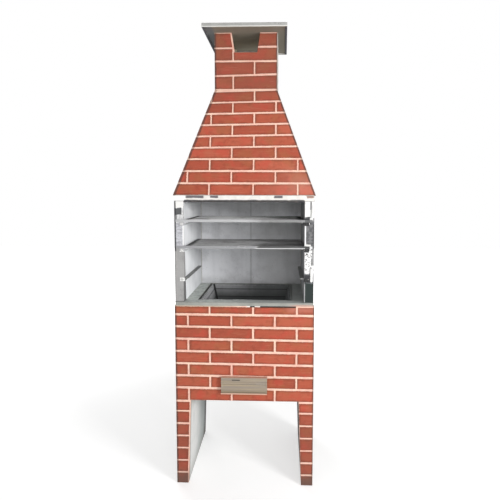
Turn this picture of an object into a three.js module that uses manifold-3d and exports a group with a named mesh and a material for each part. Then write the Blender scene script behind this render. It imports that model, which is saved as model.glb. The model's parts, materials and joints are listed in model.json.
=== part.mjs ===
// Outdoor masonry barbecue: precast concrete plates stacked on a legged base, with one running-bond
// brick relief over the whole front, a lined fire pit, two sliding racks and a sliding ash drawer.
// Millimetres, +Z up, front towards -Y. The origin is on the floor, in the middle of the footprint.

import * as THREE from 'three';
import { mergeVertices } from 'three/addons/utils/BufferGeometryUtils.js';
import Module from 'manifold-3d';

const wasm = await Module();
wasm.setup();

// Envelope and clearances
const kitWidth = 650;
const kitDepth = 490;
const seatGap = 0.3;
const cutOverrun = 6;
const arris = 3;

// Heights of the stack, from the floor up
const legHeight = 420;
const ashFloorThickness = 45;
const apronBrickHeight = 456;
const topBedJoint = 8;
const lipThickness = 16;
const hearthThickness = 50;
const chamberHeight = 478;
const throatThickness = 24;
const hoodHeight = 505;
const chimneyHeight = 267;
const capThickness = 15;

const ashFloorTop = legHeight + ashFloorThickness;
const lipBottom = legHeight + apronBrickHeight + topBedJoint;
const hearthTop = lipBottom + lipThickness;
const hearthBottom = hearthTop - hearthThickness;
const wallTop = hearthTop + chamberHeight;
const throatTop = wallTop + throatThickness;
const hoodTop = throatTop + hoodHeight;
const chimneyTop = hoodTop + chimneyHeight;

// Plates
const sideWallThickness = 43;
const backWallThickness = 38;
const apronThickness = 35;
const hoodPlateThickness = 35;
const chimneyPlateThickness = 33;

const kitHalf = kitWidth / 2;
const innerHalf = kitHalf - sideWallThickness;
const backWallFront = kitDepth - backWallThickness;

// Brick relief
const brickLength = 196;
const brickHeight = 50;
const jointWidth = 10;
const jointDepth = 4;
const jointDraft = 1.5;
const headJointOffset = 42.5;
const coursePitch = brickHeight + jointWidth;
const brickPitch = brickLength + jointWidth;

// Legs
const legStripFoot = 51;
const legStripHead = 65;
const legFirstCourse = 55;
const legCourse = 62;

// Ash drawer
const traySideMargin = 51;
const trayHeight = 58;
const trayRearClearance = 10;
const traySheet = 1.5;
const runnerThickness = 2;
const runnerFoot = 18;
const runnerUpright = 15;
const slotSideClearance = 4;
const slotTopClearance = 6;
const frontSideOverlap = 9;
const frontHeight = 76;
const frontStandoff = 18;
const beadHeight = 16;
const beadDepth = 4;
const beadPlace = 18;
const lipReach = 12;
const lipRise = 6;
const slopeRise = 60;
const slopeToe = 6;
const slopeClearance = 2;

// Fire pit
const pitSideMargin = 96;
const pitFront = 52;
const pitRearLedge = 3;
const liningSideGap = 10;
const liningEndGap = 3;
const liningThickness = 22;
const sideLiningHead = 10;
const sideLiningFoot = 50;
const grateLedge = 18;
const liningDrop = 3;
const liningFirstCourse = 24;
const liningCourse = 43;
const liningJoint = 5;
const liningJointDepth = 3;
const grateDepth = 200;
const grateThickness = 14;
const grateClearance = 4;
const grateMargin = 14;
const grateBar = 10;
const grateSlot = 13;
const grateCrossbar = 14;

// Lintel bar, rails and racks
const lintelDepth = 40;
const lintelThickness = 6;
const lintelSetback = 3;
const lowerRailHeight = 117;
const middleRailHeight = 256;
const upperRailHeight = 379;
const railLength = 350;
const railFlange = 20;
const railSheet = 3;
const railWeb = 16;
const tabReach = 20;
const tabSheet = 2;
const rackDepth = 320;
const rackSideClearance = 6;
const rackFrameRadius = 4;
const rackRodRadius = 2.5;
const rodPitch = 18;
const rodEndMargin = 2;
const supportPlace = 92;
const weldDepth = 1;
const frontBarReach = 318;
const frontBarHeight = 12;
const frontBarThickness = 5;

// Throat, hood, chimney and cap
const throatFrontBeam = 55;
const throatSideBeam = 62;
const throatRearBeam = 60;
const hoodFrontStep = 5;
const chimneyWidth = 300;
const chimneyDepth = 290;
const chimneyFront = 128;
const windowDepth = 92;
const windowTopWidth = 137;
const windowFootWidth = 109;
const capWidth = 393;
const capDepth = 434;
const capFrontOverhang = 88;
const capRimDrop = 5;
const capRimWidth = 10;
const capArris = 2;

// Counts
const hoodCourses = 9;
const chimneyCourses = 4;
const roundSides = 8;
const rodSides = 6;
const slotEndSegments = 3;

// Colours and finishes
const brick = new THREE.MeshStandardMaterial({ color: '#b5482f', roughness: 0.8, metalness: 0 });
const concrete = new THREE.MeshStandardMaterial({ color: '#b9b6ae', roughness: 0.9, metalness: 0 });
const refractory = new THREE.MeshStandardMaterial({ color: '#8f8a82', roughness: 0.95, metalness: 0 });
const darkSteel = new THREE.MeshStandardMaterial({ color: '#4a4d4c', roughness: 0.5, metalness: 0.8 });
const brightSteel = new THREE.MeshStandardMaterial({ color: '#c9cac8', roughness: 0.3, metalness: 1 });
const sheetSteel = new THREE.MeshStandardMaterial({ color: '#8d8c80', roughness: 0.4, metalness: 0.9 });
const castIron = new THREE.MeshStandardMaterial({ color: '#2e2d2c', roughness: 0.8, metalness: 0.6 });

const alongX = new THREE.Vector3(1, 0, 0);
const alongY = new THREE.Vector3(0, 1, 0);
const alongZ = new THREE.Vector3(0, 0, 1);

// Closed mesh to manifold solid
function solid(geometry) {
  const bare = geometry.clone();
  bare.deleteAttribute('normal');
  bare.deleteAttribute('uv');
  const merged = mergeVertices(bare);
  return new wasm.Manifold(new wasm.Mesh({
    numProp: 3,
    vertProperties: Float32Array.from(merged.attributes.position.array),
    triVerts: Uint32Array.from(merged.index.array),
  }));
}

// Manifold solid back to a geometry
function geometryOf(body) {
  const mesh = body.getMesh();
  const geometry = new THREE.BufferGeometry();
  geometry.setAttribute('position', new THREE.BufferAttribute(mesh.vertProperties, 3));
  geometry.setIndex(new THREE.BufferAttribute(mesh.triVerts, 1));
  geometry.computeVertexNormals();
  return geometry;
}

function joined(geometries) {
  return geometries.map(solid).reduce((whole, piece) => whole.add(piece));
}

function shapeOf(points, holes = []) {
  const shape = new THREE.Shape(points.map(([a, b]) => new THREE.Vector2(a, b)));
  shape.holes = holes;
  return shape;
}

function rectangle(a0, b0, a1, b1) {
  return [[a0, b0], [a1, b0], [a1, b1], [a0, b1]];
}

function holeOf(points) {
  return new THREE.Path(points.map(([a, b]) => new THREE.Vector2(a, b)));
}

// Prisms: an outline in the other two axes, pushed along the named axis from zero to its length.
// With an edge, the outline's arrises are chamfered and the prism keeps its size.
function extruded(shape, length, edge) {
  return new THREE.ExtrudeGeometry(shape, {
    depth: length - 2 * edge,
    bevelEnabled: edge > 0,
    bevelThickness: edge,
    bevelSize: edge,
    bevelOffset: -edge,
    bevelSegments: 1,
    curveSegments: slotEndSegments,
  }).translate(0, 0, edge);
}

function prismX(shape, length, edge = 0) {
  const basis = new THREE.Matrix4().makeBasis(alongY, alongZ, alongX);
  return extruded(shape, length, edge).applyMatrix4(basis);
}

function prismY(shape, length, edge = 0) {
  const basis = new THREE.Matrix4().makeBasis(alongX, alongZ, alongY.clone().negate());
  return extruded(shape, length, edge).applyMatrix4(basis).translate(0, length, 0);
}

function prismZ(shape, length, edge = 0) {
  return extruded(shape, length, edge);
}

// Box between two corners
function block([x0, y0, z0], [x1, y1, z1]) {
  return new THREE.BoxGeometry(x1 - x0, y1 - y0, z1 - z0)
    .translate((x0 + x1) / 2, (y0 + y1) / 2, (z0 + z1) / 2);
}

// Hexahedron between a foot rectangle at height zero and a head rectangle at the given height
function taperedBlock(foot, head, height) {
  const geometry = new THREE.BoxGeometry(1, 1, 1);
  const places = geometry.attributes.position;
  for (let i = 0; i < places.count; i += 1) {
    const rect = places.getZ(i) > 0 ? head : foot;
    const x = places.getX(i) > 0 ? rect.x1 : rect.x0;
    const y = places.getY(i) > 0 ? rect.y1 : rect.y0;
    places.setXYZ(i, x, y, places.getZ(i) > 0 ? height : 0);
  }
  return geometry;
}

// Round bar along an axis, starting at a point
function roundBar(axis, radius, length, [x, y, z], sides) {
  const bar = new THREE.CylinderGeometry(radius, radius, length, sides);
  bar.translate(0, length / 2, 0);
  if (axis === alongX) bar.rotateZ(-Math.PI / 2);
  return bar.translate(x, y, z);
}

// One running bond covers the apron, the hood and the chimney. A joint is a groove with sloping
// sides: its section is (across the joint, into the face).
function grooveSection() {
  const half = jointWidth / 2;
  const floorHalf = half - jointDraft;
  return shapeOf([
    [-half, -cutOverrun], [half, -cutOverrun], [half, 0],
    [floorHalf, jointDepth], [-floorHalf, jointDepth], [-half, 0],
  ]);
}

// Level joint over a face of the given half width, with its middle at a height
function bedJoint(halfWidth, height) {
  const length = 2 * (halfWidth + cutOverrun);
  const basis = new THREE.Matrix4().makeBasis(alongZ, alongY, alongX.clone().negate());
  return extruded(grooveSection(), length, 0).applyMatrix4(basis).translate(length / 2, 0, height);
}

// Upright joint between two bed joints
function headJoint(x, bottom, top) {
  return extruded(grooveSection(), top - bottom, 0).translate(x, 0, bottom);
}

// Cutters for a face whose courses lie between the given bed heights. An odd course has its head
// joints at the offset, an even one half a brick aside.
function bondCutters(halfWidth, beds, firstCourse) {
  const cutters = beds.map((height) => bedJoint(halfWidth, height));
  for (let course = 0; course + 1 < beds.length; course += 1) {
    const shift = (course + firstCourse) % 2 === 0 ? -brickPitch / 2 : 0;
    const first = headJointOffset + shift;
    const reach = Math.ceil((halfWidth + brickPitch) / brickPitch);
    for (let n = -reach; n <= reach; n += 1) {
      const x = first + n * brickPitch;
      if (Math.abs(x) + jointWidth < halfWidth) {
        cutters.push(headJoint(x, beds[course], beds[course + 1]));
      }
    }
  }
  return cutters;
}

// The root group puts the origin in the middle of the footprint.
const frontmost = -(frontStandoff + lipReach);
const barbecue = new THREE.Group();
barbecue.position.y = -(frontmost + kitDepth) / 2;

function place(parent, name, geometry, material, x = 0, y = 0, z = 0) {
  const mesh = new THREE.Mesh(geometry, material);
  mesh.name = name;
  mesh.position.set(x, y, z);
  parent.add(mesh);
  return mesh;
}

function groupAt(parent, x, y, z) {
  const group = new THREE.Group();
  group.position.set(x, y, z);
  parent.add(group);
  return group;
}

// Places a left and a right copy of a piece made for side -1 and +1
function pair(parent, name, make, material, y = 0, z = 0) {
  place(parent, `${name}_left`, make(-1), material, 0, y, z);
  place(parent, `${name}_right`, make(1), material, 0, y, z);
}

// Outline points mirrored to the side that a piece is made for
function sided(side, points) {
  return points.map(([a, b]) => [side * a, b]);
}

// Widths from the pit inwards
const pitHalf = kitHalf - pitSideMargin;
const liningHalf = pitHalf - liningSideGap;
const lowerLiningThickness = sideLiningFoot + grateLedge;
const trayHalf = liningHalf - lowerLiningThickness - traySideMargin;
const runnerOuter = trayHalf + seatGap + runnerThickness;
const frontHalf = trayHalf + frontSideOverlap;

// Base
const slotHalf = trayHalf + slotSideClearance;
const trayBottom = runnerThickness + 2 * seatGap;
const slotTop = ashFloorTop + trayBottom + trayHeight + slotTopClearance;
const panelFront = apronThickness + seatGap;

function frontApron() {
  const top = lipBottom - seatGap;
  const outline = [
    [-kitHalf, 0], [-kitHalf + legStripFoot, 0], [-kitHalf + legStripHead, legHeight],
    [kitHalf - legStripHead, legHeight], [kitHalf - legStripFoot, 0], [kitHalf, 0],
    [kitHalf, top], [-kitHalf, top],
  ];
  const slot = holeOf(rectangle(-slotHalf, ashFloorTop, slotHalf, slotTop));
  const plate = solid(prismY(shapeOf(outline, [slot]), apronThickness));
  const brickTop = legHeight + apronBrickHeight;
  const beds = [legHeight];
  while (beds.at(-1) + coursePitch < brickTop) beds.push(beds.at(-1) + coursePitch);
  beds.push(brickTop + jointWidth / 2);
  const cutters = bondCutters(kitHalf, beds, 0).slice(1);
  cutters.push(bedJoint(kitHalf, legHeight - jointWidth / 2));
  for (let height = legFirstCourse; height < legHeight - legCourse / 2; height += legCourse) {
    cutters.push(bedJoint(kitHalf, height));
  }
  return geometryOf(plate.subtract(joined(cutters)));
}

// The leg is as thick as the strip in front of it and ends in the ledge that carries the ash floor.
function baseSidePanel(side) {
  const ledge = legHeight - seatGap;
  const top = hearthBottom - seatGap;
  const outline = sided(side, [
    [kitHalf - legStripFoot, 0], [kitHalf, 0], [kitHalf, top], [innerHalf, top], [innerHalf, ledge],
    [kitHalf - legStripHead, ledge],
  ]);
  return prismY(shapeOf(outline), kitDepth - panelFront, arris).translate(0, panelFront, 0);
}

function slab(halfWidth, y0, y1, thickness) {
  return prismZ(shapeOf(rectangle(-halfWidth, y0, halfWidth, y1)), thickness, arris);
}

const base = groupAt(barbecue, 0, 0, 0);
place(base, 'front_apron', frontApron(), brick);
pair(base, 'base_side_panel', baseSidePanel, concrete);
const ashFloor = slab(innerHalf - seatGap, panelFront, kitDepth, ashFloorThickness);
place(base, 'ash_floor', ashFloor, concrete, 0, 0, legHeight);
const backPanelHeight = hearthBottom - ashFloorTop - 2 * seatGap;
const backPanel = prismZ(
  shapeOf(rectangle(-innerHalf + seatGap, backWallFront, innerHalf - seatGap, kitDepth)), backPanelHeight, arris,
);
place(base, 'base_back_panel', backPanel, concrete, 0, 0, ashFloorTop + seatGap);

// Fire pit lining: the side plates lean outwards above the grate, and joints run round the pit
const pitRear = backWallFront - pitRearLedge;
const liningFront = pitFront + liningEndGap;
const liningRear = pitRear - liningEndGap;
const sideLiningFront = liningFront + liningThickness + seatGap;
const sideLiningRear = liningRear - liningThickness - seatGap;
const sideLiningLength = sideLiningRear - sideLiningFront;
const liningFoot = ashFloorTop + seatGap;
const liningTop = hearthTop - liningDrop;
const grateSeat = hearthTop - grateDepth;
const notchHalf = runnerOuter + slotSideClearance;
const jointDrops = [];
for (let drop = liningFirstCourse; drop < grateDepth - liningDrop - liningJoint; drop += liningCourse) {
  jointDrops.push(drop + liningJoint / 2);
}

// End plate of the pit, with joints in the face that looks into it
function liningEndPlate(outline, face) {
  const height = liningTop - liningFoot;
  const cutters = jointDrops.map((drop) => block(
    [-pitHalf, face - liningJointDepth, height - drop - liningJoint / 2],
    [pitHalf, face + liningJointDepth, height - drop + liningJoint / 2],
  ));
  return geometryOf(solid(prismY(shapeOf(outline), liningThickness)).subtract(joined(cutters)));
}

function liningFrontPlate() {
  const height = liningTop - liningFoot;
  const notchTop = slotTop - liningFoot;
  return liningEndPlate([
    [-liningHalf, 0], [-notchHalf, 0], [-notchHalf, notchTop], [notchHalf, notchTop], [notchHalf, 0],
    [liningHalf, 0], [liningHalf, height], [-liningHalf, height],
  ], liningThickness);
}

function liningRearPlate() {
  return liningEndPlate(rectangle(-liningHalf, 0, liningHalf, liningTop - liningFoot), 0);
}

function lowerLining(side) {
  const height = grateSeat - liningFoot;
  const outline = sided(side, rectangle(liningHalf - lowerLiningThickness, 0, liningHalf, height));
  return prismY(shapeOf(outline), sideLiningLength);
}

function upperLining(side) {
  const height = liningTop - grateSeat - seatGap;
  const outline = sided(side, [
    [liningHalf - sideLiningFoot, 0], [liningHalf, 0], [liningHalf, height],
    [liningHalf - sideLiningHead, height],
  ]);
  const lean = (sideLiningFoot - sideLiningHead) / height;
  const cutters = jointDrops.map((drop) => {
    const face = side * (liningHalf - sideLiningHead - drop * lean);
    return block(
      [face - liningJointDepth, -cutOverrun, height - drop - liningJoint / 2],
      [face + liningJointDepth, sideLiningLength + cutOverrun, height - drop + liningJoint / 2],
    );
  });
  return geometryOf(solid(prismY(shapeOf(outline), sideLiningLength)).subtract(joined(cutters)));
}

function ashSlope(side) {
  const inner = runnerOuter + slopeClearance;
  const outer = liningHalf - lowerLiningThickness - seatGap;
  const low = trayBottom + trayHeight + slopeClearance;
  const outline = sided(side, [
    [inner, 0], [outer, 0], [outer, low + slopeRise], [inner + slopeToe, low], [inner, low],
  ]);
  return prismY(shapeOf(outline), sideLiningLength);
}

const lining = groupAt(barbecue, 0, 0, liningFoot);
place(lining, 'lining_front', liningFrontPlate(), refractory, 0, liningFront);
place(lining, 'lining_rear', liningRearPlate(), refractory, 0, liningRear - liningThickness);
pair(lining, 'lower_lining', lowerLining, refractory, sideLiningFront);
pair(lining, 'upper_lining', upperLining, refractory, sideLiningFront, grateSeat + seatGap - liningFoot);
pair(lining, 'ash_slope', ashSlope, concrete, sideLiningFront);

// Charcoal grate: a cast plate with two rows of round-ended slots
function slotHole(x, y0, y1) {
  const radius = grateSlot / 2;
  const path = new THREE.Path();
  path.absarc(x, y0 + radius, radius, Math.PI, 2 * Math.PI, false);
  path.absarc(x, y1 - radius, radius, 0, Math.PI, false);
  return path;
}

function charcoalGrate() {
  const half = liningHalf - sideLiningFoot - grateClearance;
  const length = sideLiningLength - 2 * grateClearance;
  const open = 2 * (half - grateMargin);
  const count = Math.floor((open + grateBar) / (grateBar + grateSlot));
  const first = -((count - 1) * (grateBar + grateSlot)) / 2;
  const holes = [];
  for (let i = 0; i < count; i += 1) {
    const x = first + i * (grateBar + grateSlot);
    holes.push(slotHole(x, grateMargin, length / 2 - grateCrossbar / 2));
    holes.push(slotHole(x, length / 2 + grateCrossbar / 2, length - grateMargin));
  }
  return prismZ(shapeOf(rectangle(-half, 0, half, length), holes), grateThickness);
}

const grateFront = sideLiningFront + grateClearance;
place(barbecue, 'charcoal_grate', charcoalGrate(), castIron, 0, grateFront, grateSeat + seatGap);

// Ash drawer and its runners
function drawerRunner(side) {
  const inner = runnerOuter - runnerThickness;
  const outline = sided(side, [
    [inner - runnerFoot, 0], [runnerOuter, 0], [runnerOuter, runnerUpright],
    [inner, runnerUpright], [inner, runnerThickness], [inner - runnerFoot, runnerThickness],
  ]);
  return prismY(shapeOf(outline), sideLiningRear - panelFront - trayRearClearance);
}

const traySeat = -frontStandoff + traySheet + seatGap;
const trayLength = sideLiningRear - trayRearClearance - traySeat;

function ashTray() {
  const outside = block([-trayHalf, 0, 0], [trayHalf, trayLength, trayHeight]);
  const inside = block(
    [-trayHalf + traySheet, traySheet, traySheet],
    [trayHalf - traySheet, trayLength - traySheet, trayHeight + cutOverrun],
  );
  return geometryOf(solid(outside).subtract(solid(inside)));
}

// Folded front: returns at top and bottom, a pressed bead and a pull lip along the lower edge
function ashDrawerFront() {
  const face = -frontStandoff;
  const back = -seatGap;
  const beadTop = frontHeight - beadPlace;
  const beadBottom = beadTop - beadHeight;
  const bead = beadDepth;
  const sheet = traySheet;
  const section = [
    [back, frontHeight], [face, frontHeight], [face, beadTop], [face - bead, beadTop - bead],
    [face - bead, beadBottom + bead], [face, beadBottom], [face, sheet], [face - lipReach + sheet, sheet],
    [face - lipReach + sheet, lipRise], [face - lipReach, lipRise], [face - lipReach, 0], [back, 0],
    [back, sheet], [face + sheet, sheet], [face + sheet, beadBottom + sheet],
    [face + sheet - bead, beadBottom + bead + sheet], [face + sheet - bead, beadTop - bead - sheet],
    [face + sheet, beadTop - sheet], [face + sheet, frontHeight - sheet], [back, frontHeight - sheet],
  ];
  const folded = prismX(shapeOf(section), 2 * frontHalf).translate(-frontHalf, 0, 0);
  const cheek = block([0, face, 0], [sheet, back, frontHeight]);
  const left = cheek.clone().translate(-frontHalf, 0, 0);
  const right = cheek.clone().translate(frontHalf - sheet, 0, 0);
  return geometryOf(joined([folded, left, right]));
}

pair(barbecue, 'drawer_runner', drawerRunner, darkSteel, panelFront, ashFloorTop + seatGap);
const drawer = groupAt(barbecue, 0, 0, ashFloorTop + seatGap + runnerThickness + seatGap);
place(drawer, 'ash_tray', ashTray(), sheetSteel, 0, traySeat);
place(drawer, 'ash_drawer_front', ashDrawerFront(), sheetSteel, 0, 0, -traySheet - seatGap);

// Hearth slab: its front lip lies over the apron, and the pit goes right through it
function hearthSlab() {
  const section = [
    [0, hearthThickness - lipThickness], [panelFront, hearthThickness - lipThickness],
    [panelFront, 0], [kitDepth, 0], [kitDepth, hearthThickness],
    [arris, hearthThickness], [0, hearthThickness - arris],
  ];
  const whole = prismX(shapeOf(section), kitWidth).translate(-kitHalf, 0, 0);
  const pit = block(
    [-pitHalf, pitFront, -cutOverrun],
    [pitHalf, pitRear, hearthThickness + cutOverrun],
  );
  return geometryOf(solid(whole).subtract(solid(pit)));
}

place(barbecue, 'hearth_slab', hearthSlab(), concrete, 0, 0, hearthBottom);

// Fire chamber
const chamber = groupAt(barbecue, 0, 0, hearthTop);
const wallHeight = chamberHeight - seatGap;

function chamberWall(side) {
  const outline = sided(side, rectangle(innerHalf, 0, kitHalf, kitDepth));
  return prismZ(shapeOf(outline), wallHeight, arris);
}

function backPlate(side) {
  const outline = sided(side, rectangle(seatGap / 2, backWallFront, innerHalf - seatGap, kitDepth));
  return prismZ(shapeOf(outline), wallHeight, 0);
}

pair(chamber, 'chamber_wall', chamberWall, concrete, 0, seatGap);
pair(chamber, 'back_plate', backPlate, refractory, 0, seatGap);

// Steel bar under the throat frame's front beam, between the columns
const lintel = rectangle(
  lintelSetback, -lintelThickness, lintelSetback + lintelDepth, 0,
);
place(chamber, 'lintel_bar', prismX(shapeOf(lintel), 2 * (innerHalf - seatGap)), darkSteel,
  -innerHalf + seatGap, 0, chamberHeight);

// Rail: an angle on the wall, whose web runs out past the column and folds over its face as a tab
function rail(side) {
  const wallFace = innerHalf - seatGap;
  const angle = sided(side, [
    [wallFace - railFlange, -railSheet], [wallFace - railFlange, 0], [wallFace, 0],
    [wallFace, -railWeb], [wallFace - railSheet, -railWeb], [wallFace - railSheet, -railSheet],
  ]);
  const tabBack = -seatGap;
  const tabFront = tabBack - tabSheet;
  const fold = sided(side, [
    [wallFace - railSheet, tabFront], [wallFace + tabReach, tabFront], [wallFace + tabReach, tabBack],
    [wallFace, tabBack], [wallFace, railWeb], [wallFace - railSheet, railWeb],
  ]);
  const length = prismY(shapeOf(angle), railLength - tabSheet).translate(0, tabSheet, 0);
  const tab = prismZ(shapeOf(fold), railWeb).translate(0, 0, -railWeb);
  return geometryOf(joined([length, tab]));
}

// Rack: a frame of round bar with cross rods welded over its side bars and two supports
function rackGrid() {
  const half = innerHalf - rackSideClearance;
  const radius = rackFrameRadius;
  const side = half - radius;
  const parts = [];
  for (const x of [-side, side]) {
    parts.push(roundBar(alongY, radius, rackDepth, [x, 0, radius], roundSides));
  }
  for (const x of [-supportPlace, supportPlace]) {
    parts.push(roundBar(alongY, radius, rackDepth - 2 * radius, [x, radius, radius], roundSides));
  }
  for (const y of [radius, rackDepth - radius]) {
    parts.push(roundBar(alongX, radius, 2 * side, [-side, y, radius], roundSides));
  }
  const rodHeight = 2 * radius + rackRodRadius - weldDepth;
  const rodLength = 2 * (half - rodEndMargin);
  const count = Math.floor((rackDepth - 2 * radius - rodPitch) / rodPitch) + 1;
  const first = (rackDepth - (count - 1) * rodPitch) / 2;
  for (let i = 0; i < count; i += 1) {
    const start = [-rodLength / 2, first + i * rodPitch, rodHeight];
    parts.push(roundBar(alongX, rackRodRadius, rodLength, start, rodSides));
  }
  return geometryOf(joined(parts));
}

function rackFrontBar() {
  const outline = rectangle(-frontBarReach, 0, frontBarReach, frontBarHeight);
  return prismY(shapeOf(outline), frontBarThickness);
}

pair(chamber, 'lower_rail', rail, darkSteel, 0, lowerRailHeight);
pair(chamber, 'middle_rail', rail, darkSteel, 0, middleRailHeight);
pair(chamber, 'upper_rail', rail, darkSteel, 0, upperRailHeight);
for (const [name, height] of [['middle', middleRailHeight], ['upper', upperRailHeight]]) {
  const rack = groupAt(chamber, 0, 0, height + seatGap);
  place(rack, `${name}_rack_grid`, rackGrid(), darkSteel);
  place(rack, `${name}_rack_bar`, rackFrontBar(), brightSteel, 0, -seatGap - frontBarThickness);
}

// Throat frame: the ring slab that closes the chamber's top and carries the hood
function throatFrame() {
  const opening = holeOf(rectangle(
    -kitHalf + throatSideBeam, throatFrontBeam, kitHalf - throatSideBeam, kitDepth - throatRearBeam,
  ));
  const outline = rectangle(-kitHalf, 0, kitHalf, kitDepth);
  return prismZ(shapeOf(outline, [opening]), throatThickness - seatGap);
}

place(barbecue, 'throat_frame', throatFrame(), concrete, 0, 0, wallTop + seatGap);

// Hood: four plates between the foot and head rectangles of one leaning pyramid
const hoodFoot = { x0: -kitHalf, x1: kitHalf, y0: hoodFrontStep, y1: kitDepth };
const hoodHead = {
  x0: -chimneyWidth / 2, x1: chimneyWidth / 2, y0: chimneyFront, y1: chimneyFront + chimneyDepth,
};
const hoodRise = hoodHeight - seatGap;

function frontSlice(rect, thickness) {
  return { ...rect, y1: rect.y0 + thickness };
}

function rearSlice(rect, thickness) {
  return { ...rect, y0: rect.y1 - thickness };
}

function sideSlice(rect, thickness, side) {
  return {
    x0: side > 0 ? rect.x1 - thickness : rect.x0,
    x1: side > 0 ? rect.x1 : rect.x0 + thickness,
    y0: rect.y0 + thickness + seatGap,
    y1: rect.y1 - thickness - seatGap,
  };
}

function shellPlate(slice, foot, head, height, thickness, side) {
  return taperedBlock(slice(foot, thickness, side), slice(head, thickness, side), height);
}

// The bond is laid out upright from the face's foot and then leaned back with the plate.
function hoodFront() {
  const lean = hoodHead.y0 - hoodFoot.y0;
  const slant = Math.hypot(lean, hoodRise);
  const beds = Array.from({ length: hoodCourses + 1 }, (_, k) => (k * slant) / hoodCourses);
  const cutters = bondCutters(hoodFoot.x1, beds, 1).slice(1)
    .map((cutter) => cutter.rotateX(-Math.atan2(lean, hoodRise)).translate(0, hoodFoot.y0, 0));
  const plate = shellPlate(frontSlice, hoodFoot, hoodHead, hoodRise, hoodPlateThickness);
  return geometryOf(solid(plate).subtract(joined(cutters)));
}

const hood = groupAt(barbecue, 0, 0, throatTop + seatGap);
place(hood, 'hood_front', hoodFront(), brick);
place(hood, 'hood_rear', shellPlate(rearSlice, hoodFoot, hoodHead, hoodRise, hoodPlateThickness), concrete);
pair(hood, 'hood', (side) => shellPlate(
  sideSlice, hoodFoot, hoodHead, hoodRise, hoodPlateThickness, side,
), concrete);

// Chimney: four plates, with smoke windows open to the cap in the front and the rear one
const chimneyRise = chimneyHeight - seatGap;

function windowCutter() {
  const foot = chimneyRise - windowDepth;
  const flare = ((windowTopWidth - windowFootWidth) / 2) * (cutOverrun / windowDepth);
  const topHalf = windowTopWidth / 2 + flare;
  const footHalf = windowFootWidth / 2;
  const outline = [
    [-footHalf, foot], [footHalf, foot],
    [topHalf, chimneyRise + cutOverrun], [-topHalf, chimneyRise + cutOverrun],
  ];
  return prismY(shapeOf(outline), chimneyPlateThickness + 2 * cutOverrun);
}

function chimneyFace(slice) {
  const plate = solid(shellPlate(slice, hoodHead, hoodHead, chimneyRise, chimneyPlateThickness));
  const start = slice(hoodHead, chimneyPlateThickness).y0;
  return plate.subtract(solid(windowCutter().translate(0, start - cutOverrun, 0)));
}

function chimneyFrontPlate() {
  const beds = Array.from({ length: chimneyCourses + 1 }, (_, k) => (k * chimneyRise) / chimneyCourses);
  const cutters = bondCutters(hoodHead.x1, beds, 0)
    .map((cutter) => cutter.translate(0, hoodHead.y0, 0));
  return geometryOf(chimneyFace(frontSlice).subtract(joined(cutters)));
}

const chimney = groupAt(barbecue, 0, 0, hoodTop + seatGap);
place(chimney, 'chimney_front', chimneyFrontPlate(), brick);
place(chimney, 'chimney_rear', geometryOf(chimneyFace(rearSlice)), concrete);
pair(chimney, 'chimney', (side) => shellPlate(
  sideSlice, hoodHead, hoodHead, chimneyRise, chimneyPlateThickness, side,
), concrete);

// Cap: a flat plate with a drip rim round its underside
function chimneyCap() {
  const half = capWidth / 2;
  const outline = rectangle(-half, -capDepth / 2, half, capDepth / 2);
  const plate = prismZ(shapeOf(outline), capThickness + capRimDrop, capArris);
  const recess = block(
    [-half + capRimWidth, -capDepth / 2 + capRimWidth, -cutOverrun],
    [half - capRimWidth, capDepth / 2 - capRimWidth, capRimDrop],
  );
  return geometryOf(solid(plate).subtract(solid(recess)));
}

const capMiddle = chimneyFront - capFrontOverhang + capDepth / 2;
place(barbecue, 'chimney_cap', chimneyCap(), concrete, 0, capMiddle, chimneyTop + seatGap - capRimDrop);

export default barbecue;
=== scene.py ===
"""Outdoor masonry barbecue: brickwork, mortar, wire racks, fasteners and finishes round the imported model.

Metres, +Z up, front towards -Y. Every finished piece keeps its place in its mesh.
"""

import json
import math
import random

import bmesh
import bpy
from mathutils import Matrix, Vector

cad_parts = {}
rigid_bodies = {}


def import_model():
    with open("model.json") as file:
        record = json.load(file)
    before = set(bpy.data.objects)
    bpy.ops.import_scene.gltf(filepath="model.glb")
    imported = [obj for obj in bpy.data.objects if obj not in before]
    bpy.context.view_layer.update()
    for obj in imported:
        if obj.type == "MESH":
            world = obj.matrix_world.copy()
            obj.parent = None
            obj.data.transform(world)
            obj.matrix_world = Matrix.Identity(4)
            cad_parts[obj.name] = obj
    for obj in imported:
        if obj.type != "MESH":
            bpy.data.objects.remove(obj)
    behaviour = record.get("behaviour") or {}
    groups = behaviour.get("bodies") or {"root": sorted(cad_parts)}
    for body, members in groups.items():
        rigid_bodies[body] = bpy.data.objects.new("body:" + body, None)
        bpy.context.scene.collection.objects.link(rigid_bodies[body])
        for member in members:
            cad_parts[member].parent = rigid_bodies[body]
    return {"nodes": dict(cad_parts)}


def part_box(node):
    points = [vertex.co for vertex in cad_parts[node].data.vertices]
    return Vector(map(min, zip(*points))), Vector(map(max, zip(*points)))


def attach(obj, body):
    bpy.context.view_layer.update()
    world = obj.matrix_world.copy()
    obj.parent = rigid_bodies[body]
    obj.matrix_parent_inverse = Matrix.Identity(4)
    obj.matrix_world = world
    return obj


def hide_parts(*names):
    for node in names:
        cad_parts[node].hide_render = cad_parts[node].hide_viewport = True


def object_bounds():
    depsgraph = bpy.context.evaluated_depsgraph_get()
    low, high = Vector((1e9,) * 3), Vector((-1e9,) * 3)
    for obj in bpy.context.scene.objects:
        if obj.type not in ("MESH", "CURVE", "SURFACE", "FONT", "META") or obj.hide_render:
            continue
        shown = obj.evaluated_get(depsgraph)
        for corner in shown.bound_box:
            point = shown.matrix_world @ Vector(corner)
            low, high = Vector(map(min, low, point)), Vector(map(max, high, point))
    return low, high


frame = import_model()
cad_low, cad_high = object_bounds()

MASONRY = "masonry"
COAT = 0.0003  # a piece that lies on another keeps this far off it

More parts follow.
